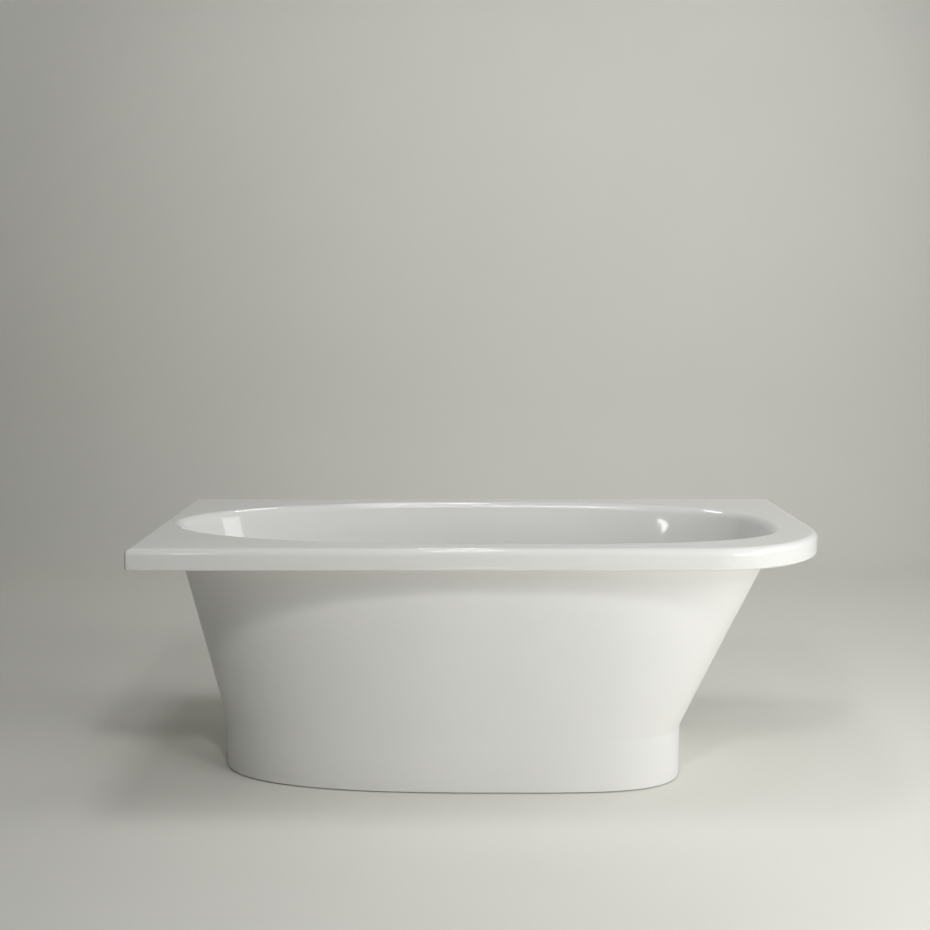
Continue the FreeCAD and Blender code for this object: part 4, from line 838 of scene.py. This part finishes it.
def object_place(tree, stretch=(1, 1, 1), turn=(0, 0, 0)):
    place = add(tree, "TexCoord").outputs["Object"]
    angles = tuple(math.radians(angle) for angle in turn)
    return add(tree, "Mapping", {"Vector": place, "Rotation": angles, "Scale": stretch}).outputs["Vector"]


def noise(tree, scale, detail=3.0, roughness=0.5, vector=None):
    if vector is None:
        vector = object_place(tree)
    settings = {"Vector": vector, "Scale": scale, "Detail": detail, "Roughness": roughness}
    return add(tree, "TexNoise", settings).outputs["Fac"]


def maths(tree, operation, *values):
    return add(tree, "Math", dict(enumerate(values)), operation=operation).outputs[0]


def times(tree, first, second):
    return maths(tree, "MULTIPLY", first, second)


def blend_colours(tree, share, first, second):
    return add(tree, "Mix", {0: share, 6: first, 7: second}, data_type="RGBA").outputs[2]


def blend_values(tree, share, first, second):
    return add(tree, "Mix", {0: share, 2: first, 3: second}).outputs[0]


def spread(tree, value, low, high, to_low, to_high):
    """Maps a span of a value to another, held at both ends."""
    made = add(tree, "MapRange", {"Value": value, "From Min": low, "From Max": high,
                                  "To Min": to_low, "To Max": to_high})
    return made.outputs["Result"]


def make_cloudy_tint():
    """Two tones of one colour that drift over the surface."""
    tree, given, result = new_group("cloudy_tint", "Light Dark Scale", "Color")
    clouds = noise(tree, given["Scale"], 4.0, 0.55)
    share = spread(tree, clouds, 0.35, 0.65, 0.0, 1.0)
    tree.links.new(blend_colours(tree, share, given["Light"], given["Dark"]), result["Color"])


def make_hand_marks():
    """Roughness that rises in faint smears and wiped streaks."""
    tree, given, result = new_group("hand_marks", "Clean Marked Scale", "Roughness")
    smears = noise(tree, given["Scale"], 5.0, 0.6)
    streaks = noise(tree, given["Scale"], vector=object_place(tree, (1, 4, 9), (20, 35, 10)))
    share = spread(tree, times(tree, smears, streaks), 0.15, 0.4, 0.0, 1.0)
    tree.links.new(blend_values(tree, share, given["Clean"], given["Marked"]), result["Roughness"])


def make_sheet_ripple():
    """Height of the slow waves of a formed sheet with a fine grain on top."""
    tree, given, result = new_group("sheet_ripple", "Waves Grain", "Height")
    slow = noise(tree, given["Waves"], 1.0)
    fine = noise(tree, given["Grain"], 2.0)
    tree.links.new(maths(tree, "MULTIPLY_ADD", fine, 0.04, slow), result["Height"])


def make_worn_edge():
    """Mask of the edges that handling has rubbed, in patches."""
    tree, given, result = new_group("worn_edge", "Amount Scale", "Mask")
    edge = spread(tree, add(tree, "NewGeometry").outputs["Pointiness"], 0.51, 0.60, 0.0, 1.0)
    patches = spread(tree, noise(tree, given["Scale"], 4.0, 0.6), 0.35, 0.6, 0.1, 1.0)
    worn = times(tree, edge, patches)
    tree.links.new(times(tree, worn, given["Amount"]), result["Mask"])


def make_settled_dust():
    """Mask of the fine dust on faces that look up."""
    tree, given, result = new_group("settled_dust", "Amount Scale", "Mask")
    facing = add(tree, "SeparateXYZ", {0: add(tree, "NewGeometry").outputs["Normal"]}).outputs["Z"]
    level = spread(tree, facing, 0.35, 1.0, 0.0, 1.0)
    patches = spread(tree, noise(tree, given["Scale"], 5.0, 0.6), 0.3, 0.7, 0.35, 1.0)
    lying = times(tree, level, patches)
    tree.links.new(times(tree, lying, given["Amount"]), result["Mask"])


def make_strand_mat():
    """Chopped glass strands that cross each other: a mask, and their height under the resin."""
    tree, given, result = new_group("strand_mat", "Scale", "Mask Height")
    strands = None
    for turn in STRAND_TURNS:
        field = noise(tree, given["Scale"], 1.0, vector=object_place(tree, (1, 9, 9), turn))
        away = maths(tree, "ABSOLUTE", maths(tree, "SUBTRACT", field, 0.5))
        line = spread(tree, away, 0.0, 0.03, 1.0, 0.0)
        strands = line if strands is None else maths(tree, "MAXIMUM", strands, line)
    clumps = spread(tree, noise(tree, given["Scale"], 3.0), 0.3, 0.6, 0.35, 1.0)
    mask = times(tree, strands, clumps)
    lumps = noise(tree, given["Scale"], 3.0, 0.6)
    tree.links.new(mask, result["Mask"])
    tree.links.new(maths(tree, "MULTIPLY_ADD", mask, 0.35, lumps), result["Height"])


def make_pressed_flakes():
    """Wood flakes pressed flat: each has its own tone, with darker joins."""
    tree, given, result = new_group("pressed_flakes", "Light Dark Scale", "Color Height")
    cells = add(tree, "TexVoronoi", {"Vector": object_place(tree, (1.0, 2.1, 3.0), (0, 0, 25)),
                                     "Scale": given["Scale"]})
    tone = add(tree, "SeparateColor", {0: cells.outputs["Color"]}).outputs["Red"]
    fibres = noise(tree, given["Scale"], 4.0, 0.6, object_place(tree, (1, 6, 6), (0, 0, 40)))
    shade = maths(tree, "MULTIPLY_ADD", fibres, 0.5, times(tree, tone, 0.6))
    joins = spread(tree, cells.outputs["Distance"], 0.3, 0.75, 0.0, 0.5)
    share = maths(tree, "ADD", shade, joins)
    tree.links.new(blend_colours(tree, share, given["Light"], given["Dark"]), result["Color"])
    tree.links.new(maths(tree, "SUBTRACT", 1.0, share), result["Height"])


def make_sawn_grain():
    """Grain that runs along each batten: the long ones lie along X, the one at the end along Y."""
    tree, given, result = new_group("sawn_grain", "Light Dark Scale", "Color Height")
    along_x = object_place(tree, (0.08, 1, 1))
    along_y = object_place(tree, (1, 0.08, 1))
    place = add(tree, "SeparateXYZ", {0: object_place(tree)}).outputs["X"]
    at_end = maths(tree, "GREATER_THAN", place, SIDE_BATTEN)
    mixed = add(tree, "Mix", {0: at_end, 4: along_x, 5: along_y}, data_type="VECTOR").outputs[1]
    rings = noise(tree, given["Scale"], 2.0, 0.4, mixed)
    lines = maths(tree, "PINGPONG", times(tree, rings, 9.0), 1.0)
    pores = noise(tree, times(tree, given["Scale"], 9.0), 3.0, 0.6, mixed)
    share = maths(tree, "MULTIPLY_ADD", pores, 0.45, times(tree, lines, 0.55))
    tree.links.new(blend_colours(tree, share, given["Light"], given["Dark"]), result["Color"])
    tree.links.new(pores, result["Height"])


def make_zinc_crystals():
    """The frosted crystals of a galvanised coat, each with its own shade from 0 to 1."""
    tree, given, result = new_group("zinc_crystals", "Scale", "Shade")
    cells = add(tree, "TexVoronoi", {"Vector": object_place(tree), "Scale": given["Scale"]})
    tone = add(tree, "SeparateColor", {0: cells.outputs["Color"]}).outputs["Green"]
    frost = noise(tree, times(tree, given["Scale"], 6.0), 2.0)
    shade = maths(tree, "MULTIPLY_ADD", frost, 0.3, times(tree, tone, 0.7))
    tree.links.new(shade, result["Shade"])


def make_dried_drops():
    """Mask of the thin rings that dried water leaves on a polished face."""
    tree, given, result = new_group("dried_drops", "Scale", "Mask")
    cells = add(tree, "TexVoronoi", {"Vector": object_place(tree), "Scale": given["Scale"]})
    chance = add(tree, "SeparateColor", {0: cells.outputs["Color"]}).outputs["Red"]
    reach = spread(tree, chance, 0.6, 1.0, 0.0, 0.4)
    away = maths(tree, "ABSOLUTE", maths(tree, "SUBTRACT", cells.outputs["Distance"], reach))
    ring = spread(tree, away, 0.0, 0.08, 1.0, 0.0)
    there = maths(tree, "GREATER_THAN", chance, 0.6)
    tree.links.new(times(tree, ring, there), result["Mask"])


for make_group in (make_cloudy_tint, make_hand_marks, make_sheet_ripple, make_worn_edge,
                   make_settled_dust, make_strand_mat, make_pressed_flakes, make_sawn_grain,
                   make_zinc_crystals, make_dried_drops):
    make_group()


def new_finish(name):
    """Keeps a material with its surface shader. Gives its tree and the shader's inputs."""
    material = bpy.data.materials.new(name)
    material.use_nodes = True
    FINISHES[name] = material
    tree = material.node_tree
    return tree, tree.nodes["Principled BSDF"].inputs


def place_group(tree, group, inputs):
    made = tree.nodes.new("ShaderNodeGroup")
    made.node_tree = GROUPS[group]
    for name, value in inputs.items():
        made.inputs[name].default_value = value
    return made.outputs


def tinted(tree, tint):
    tones = {"Light": (*tint.light, 1), "Dark": (*tint.dark, 1), "Scale": tint.patch}
    return place_group(tree, "cloudy_tint", tones)["Color"]


def marked(tree, marks):
    wiped = {"Clean": marks.clean, "Marked": marks.marked, "Scale": marks.patch}
    return place_group(tree, "hand_marks", wiped)["Roughness"]


def rippled(tree, relief):
    return place_group(tree, "sheet_ripple", {"Waves": relief.waves, "Grain": relief.grain})["Height"]


def rubbed(tree, colour, wear, patch):
    """The colour with its handled edges rubbed to another one."""
    mask = place_group(tree, "worn_edge", {"Amount": wear.amount, "Scale": patch})["Mask"]
    return blend_colours(tree, mask, colour, (*wear.colour, 1))


def dusted(tree, colour, rough, amount, patch):
    """The colour and roughness with dust on the faces that look up."""
    mask = place_group(tree, "settled_dust", {"Amount": amount, "Scale": patch})["Mask"]
    return blend_colours(tree, mask, colour, DUST_COLOUR), blend_values(tree, mask, rough, DUST_ROUGHNESS)


def surfaced(tree, surface, colour, rough, height, depth):
    """Feeds the shader its colour, roughness and relief."""
    tree.links.new(colour, surface["Base Color"])
    tree.links.new(rough, surface["Roughness"])
    bump = add(tree, "Bump", {"Height": height, "Strength": 1.0, "Distance": depth})
    tree.links.new(bump.outputs["Normal"], surface["Normal"])


def moulded(name, tint, marks, relief, metal=0.0, index=1.5, wear=None, dust=0.0):
    """Drifting colour, handling marks and a shallow relief, with rubbed edges and dust if given."""
    tree, surface = new_finish(name)
    colour = tinted(tree, tint)
    rough = marked(tree, marks)
    if wear:
        colour = rubbed(tree, colour, wear, marks.patch)
    if dust:
        colour, rough = dusted(tree, colour, rough, dust, marks.patch)
    surfaced(tree, surface, colour, rough, rippled(tree, relief), relief.depth)
    surface["Metallic"].default_value = metal
    surface["IOR"].default_value = index


def laminated(name, resin, marks, strand, strand_scale, depth):
    """Cured resin with glass strands that show through it."""
    tree, surface = new_finish(name)
    mat = place_group(tree, "strand_mat", {"Scale": strand_scale})
    shown = times(tree, mat["Mask"], STRAND_SHOWN)
    colour = blend_colours(tree, shown, tinted(tree, resin), (*strand, 1))
    surfaced(tree, surface, colour, marked(tree, marks), mat["Height"], depth)


def wooden(name, group, light, dark, scale, marks, depth, dust=0.0):
    """Bare wood drawn by a grain or flake group."""
    tree, surface = new_finish(name)
    wood = place_group(tree, group, {"Light": (*light, 1), "Dark": (*dark, 1), "Scale": scale})
    colour, rough = dusted(tree, wood["Color"], marked(tree, marks), dust, marks.patch)
    surfaced(tree, surface, colour, rough, wood["Height"], depth)


def galvanised(name, light, dark, scale, marks, relief, wear, dust):
    """Zinc crystals on steel, rubbed bright along the edges."""
    tree, surface = new_finish(name)
    shade = place_group(tree, "zinc_crystals", {"Scale": scale})["Shade"]
    colour = rubbed(tree, blend_colours(tree, shade, (*light, 1), (*dark, 1)), wear, marks.patch)
    rough = maths(tree, "MULTIPLY_ADD", shade, ZINC_FROST, marked(tree, marks))
    colour, rough = dusted(tree, colour, rough, dust, marks.patch)
    surfaced(tree, surface, colour, rough, rippled(tree, relief), relief.depth)
    surface["Metallic"].default_value = 1.0


def polished(name, tint, marks, relief, drop_scale, drop_roughness):
    """Bright plated metal with finger smears and a few dried drops."""
    tree, surface = new_finish(name)
    drops = place_group(tree, "dried_drops", {"Scale": drop_scale})["Mask"]
    rough = maths(tree, "MULTIPLY_ADD", drops, drop_roughness, marked(tree, marks))
    surfaced(tree, surface, tinted(tree, tint), rough, rippled(tree, relief), relief.depth)
    surface["Metallic"].default_value = 1.0


moulded("gloss_acrylic", Tint((0.865, 0.862, 0.838), (0.845, 0.843, 0.820), 2.5),
        Marks(0.055, 0.08, 6.0), Relief(9.0, 400.0, 0.00001), index=1.49)
moulded("satin_acrylic", Tint((0.855, 0.852, 0.828), (0.835, 0.833, 0.810), 3.0),
        Marks(0.36, 0.46, 5.0), Relief(7.0, 700.0, 0.00012), index=1.49)
laminated("glass_fibre", Tint((0.60, 0.57, 0.45), (0.49, 0.46, 0.35), 14.0),
          Marks(0.28, 0.55, 18.0), (0.80, 0.79, 0.72), 24.0, 0.0010)
wooden("timber", "sawn_grain", (0.66, 0.49, 0.30), (0.47, 0.31, 0.17), 45.0,
       Marks(0.55, 0.75, 20.0), 0.0003, dust=0.15)
wooden("board", "pressed_flakes", (0.60, 0.47, 0.31), (0.33, 0.24, 0.15), 130.0,
       Marks(0.6, 0.8, 30.0), 0.0004, dust=0.3)
galvanised("zinc_steel", (0.66, 0.68, 0.70), (0.46, 0.48, 0.50), 110.0,
           Marks(0.26, 0.42, 25.0), Relief(60.0, 800.0, 0.00008),
           Wear((0.80, 0.81, 0.82), 0.6), 0.35)
moulded("fastener_steel", Tint((0.70, 0.69, 0.63), (0.54, 0.53, 0.47), 120.0),
        Marks(0.22, 0.42, 60.0), Relief(120.0, 900.0, 0.00006), metal=1.0,
        wear=Wear((0.82, 0.82, 0.80), 0.7), dust=0.3)
polished("chrome", Tint((0.82, 0.82, 0.83), (0.77, 0.775, 0.79), 30.0),
         Marks(0.035, 0.12, 40.0), Relief(40.0, 900.0, 0.000015), 260.0, 0.12)
moulded("brass", Tint((0.78, 0.58, 0.26), (0.62, 0.43, 0.17), 90.0), Marks(0.18, 0.36, 80.0),
        Relief(120.0, 900.0, 0.00005), metal=1.0, wear=Wear((0.90, 0.74, 0.42), 0.7))
moulded("seal_rubber", Tint((0.030, 0.030, 0.032), (0.018, 0.018, 0.019), 60.0),
        Marks(0.5, 0.75, 60.0), Relief(80.0, 900.0, 0.00012))
moulded("white_fitting", Tint((0.80, 0.80, 0.78), (0.74, 0.74, 0.71), 25.0),
        Marks(0.26, 0.44, 25.0), Relief(30.0, 900.0, 0.00012), dust=0.3)
moulded("grey_pipe", Tint((0.42, 0.43, 0.44), (0.35, 0.36, 0.37), 20.0),
        Marks(0.3, 0.5, 20.0), Relief(25.0, 700.0, 0.00012), dust=0.35)
moulded("black_nut", Tint((0.032, 0.032, 0.034), (0.020, 0.020, 0.021), 50.0),
        Marks(0.34, 0.55, 40.0), Relief(60.0, 900.0, 0.00012),
        wear=Wear((0.10, 0.10, 0.105), 0.6), dust=0.3)
moulded("cable_sleeve", Tint((0.050, 0.050, 0.053), (0.030, 0.030, 0.032), 60.0),
        Marks(0.38, 0.6, 50.0), Relief(80.0, 900.0, 0.0001), dust=0.25)
moulded("foot_plastic", Tint((0.055, 0.055, 0.058), (0.036, 0.036, 0.038), 60.0),
        Marks(0.42, 0.62, 50.0), Relief(80.0, 1200.0, 0.00018),
        wear=Wear((0.16, 0.16, 0.165), 0.6), dust=0.35)
moulded("sole_rubber", Tint((0.024, 0.024, 0.025), (0.015, 0.015, 0.016), 60.0),
        Marks(0.62, 0.82, 50.0), Relief(80.0, 900.0, 0.0002))


def dress_solids():
    """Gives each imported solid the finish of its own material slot."""
    for node, slot in SLOT_OF.items():
        mesh = frame["nodes"][node].data
        mesh.materials.clear()
        mesh.materials.append(FINISHES[slot])


# Studio

def painted_glow_share(tree):
    """How far the stage is painted to glow in the air's pale colour, seen only by the eye: not at all near
    the bath, and wholly at the stage's ends.
    """
    away = add(tree, "VectorMath", {0: object_place(tree), 1: GLOW_CENTRE}, operation="SUBTRACT")
    stretched = add(tree, "VectorMath", {0: away.outputs[0], 1: GLOW_STRETCH}, operation="MULTIPLY")
    distance = add(tree, "VectorMath", {0: stretched.outputs[0]}, operation="LENGTH")
    share = spread(tree, distance.outputs["Value"], GLOW_START, GLOW_END, 0.0, 1.0)
    return times(tree, share, add(tree, "LightPath").outputs["Is Camera Ray"])


def make_stage():
    """A pale floor that curves up into the backdrop. Its far ends are painted to glow in the air's colour,
    for the eye only.
    """
    bm = bmesh.new()
    profile = [(FLOOR_FRONT, 0.0), (FLOOR_BACK, 0.0)]
    for step in range(1, COVE_STEPS + 1):
        turn = math.radians(90 * step / COVE_STEPS)
        profile.append((FLOOR_BACK + COVE_RADIUS * math.sin(turn), COVE_RADIUS * (1 - math.cos(turn))))
    profile.append((FLOOR_BACK + COVE_RADIUS, BACKDROP_TOP))
    start = [bm.verts.new((-STAGE_WIDTH / 2, y, z)) for y, z in profile]
    edges = [bm.edges.new(pair) for pair in zip(start, start[1:])]
    made = bmesh.ops.extrude_edge_only(bm, edges=edges)["geom"]
    far = [item for item in made if isinstance(item, bmesh.types.BMVert)]
    bmesh.ops.translate(bm, vec=(STAGE_WIDTH, 0, 0), verts=far)
    stage = mesh_object(bm, "studio_floor")
    tree, surface = new_finish("studio_paper")
    paper = tinted(tree, PAPER_TINT)
    # Painted glow: far from the bath the stage turns black and emits the air's pale colour, seen only by
    # the eye and lighting nothing
    glow_share = painted_glow_share(tree)
    tree.links.new(blend_colours(tree, glow_share, paper, BLACK), surface["Base Color"])
    tree.links.new(blend_colours(tree, glow_share, BLACK, AIR_COLOUR), surface["Emission Color"])
    surface["Emission Strength"].default_value = AIR_SEEN
    surface["Roughness"].default_value = PAPER_ROUGHNESS
    stage.data.materials.append(FINISHES["studio_paper"])


def add_softbox(name, place, width, height, power, aim=BATH_MIDDLE, mirrored=False, lighting=True,
                beam=180):
    """An area lamp, which may also show in a mirror, or show there and give no light."""
    light = bpy.data.lights.new(name, "AREA")
    light.shape = "RECTANGLE"
    light.size = width
    light.size_y = height
    light.energy = power
    light.spread = math.radians(beam)
    obj = bpy.data.objects.new(name, light)
    obj.location = place
    obj.rotation_euler = (Vector(aim) - Vector(place)).to_track_quat("-Z", "Y").to_euler()
    obj.visible_glossy = mirrored
    obj.visible_diffuse = lighting
    obj.visible_camera = False
    bpy.context.scene.collection.objects.link(obj)


def make_air():
    """Faint light from all round. Where the eye or a mirror looks past the stage, it is pale."""
    world = bpy.data.worlds.new("studio_air")
    world.use_nodes = True
    tree = world.node_tree
    path = add(tree, "LightPath").outputs
    seen = maths(tree, "MAXIMUM", path["Is Camera Ray"], path["Is Glossy Ray"])
    strength = blend_values(tree, seen, AIR_LIGHT, AIR_SEEN)
    background = tree.nodes["Background"].inputs
    background["Color"].default_value = AIR_COLOUR
    tree.links.new(strength, background["Strength"])
    bpy.context.scene.world = world


def make_studio():
    make_stage()
    make_air()
    add_softbox("front_key", (-0.1, -1.9, 2.2), 0.24, 0.24, 8.4)
    add_softbox("left_key", (-0.4, -1.9, 2.2), 0.35, 0.35, 0.8)
    add_softbox("right_key", (1.0, -1.9, 2.05), 0.4, 0.4, 3.0)
    add_softbox("right_low_softbox", (1.8, -1.7, 0.62), 0.9, 0.7, 13.5, mirrored=True)
    add_softbox("right_softbox", (2.6, -1.25, 1.5), 1.0, 1.0, 12.8, mirrored=True)
    add_softbox("right_front_softbox", (2.4, -2.8, 2.2), 0.8, 0.8, 15.4)
    add_softbox("right_floor_softbox", (2.4, -0.2, 2.2), 0.8, 0.8, 9.8, (1.5, -0.6, 0.0))
    add_softbox("front_fill", (0.8, -5.0, 1.0), 3.0, 1.4, 5.4, mirrored=True)
    add_softbox("far_floor_softbox", (0.0, -4.6, 4.2), 4.0, 1.6, 12.0, (0.0, -5.0, 0.0))
    add_softbox("left_fill", (-3.2, -1.6, 1.8), 2.0, 2.0, 0.9, mirrored=True)
    add_softbox("overhead_softbox", (-0.4, -0.1, 3.4), 0.6, 0.6, 11.4, (-0.4, -0.1, 0.0))
    add_softbox("ceiling_softbox", (0.5, -0.6, 3.8), 1.4, 1.0, 10.8)
    add_softbox("ceiling_right", (1.6, -0.4, 3.6), 1.2, 1.2, 3.4)
    mirror_only = {"mirrored": True, "lighting": False}
    add_softbox("left_sparkle", (-1.12, -2.15, 1.50), 0.26, 0.08, 1.1, (0.487, 0.225, 0.579), **mirror_only)
    add_softbox("back_lip_strip", (-0.1, 1.43, 3.38), 0.36, 0.2, 9.0, (-0.1, 0.3, 0.6), **mirror_only)
    add_softbox("front_lip_strip", (-0.02, -1.01, 3.29), 0.36, 0.2, 7.0, (-0.1, 0.3, 0.6), **mirror_only)
    add_softbox("backdrop_strip", (0.5, 0.9, 3.6), 3.4, 0.8, 11.0, (0.4, 2.95, 1.6), beam=130)
    add_softbox("backdrop_left", (-1.7, 0.9, 3.2), 1.4, 0.8, 3.7, (-1.5, 2.95, 1.9))
    add_softbox("backdrop_right", (1.9, 0.9, 2.4), 1.2, 0.8, 6.6, (1.4, 2.95, 0.9))
    camera = bpy.data.cameras.new("camera")
    camera.lens = CAMERA_LENS
    camera.sensor_width = CAMERA_SENSOR
    viewer = bpy.data.objects.new("camera", camera)
    viewer.location = CAMERA_PLACE
    viewer.rotation_euler = (math.pi / 2 - CAMERA_DIP, 0, 0)
    bpy.context.scene.collection.objects.link(viewer)
    bpy.context.scene.camera = viewer
    bpy.context.scene.view_settings.view_transform = "Standard"


dress_solids()
make_bath_shell()
make_glass_fibre_layer()
make_closing_frame()
make_skirt()
make_waste_flange()
make_plug_cap()
make_overflow_flange()
make_overflow_knob()
for place in FOOT_PLACES:
    make_foot_rod(place)
    make_foot_pad(place)
    make_foot_sole(place)
for node, width in EASED_WIDTHS.items():
    make_eased_copy(node, width)
make_studio()
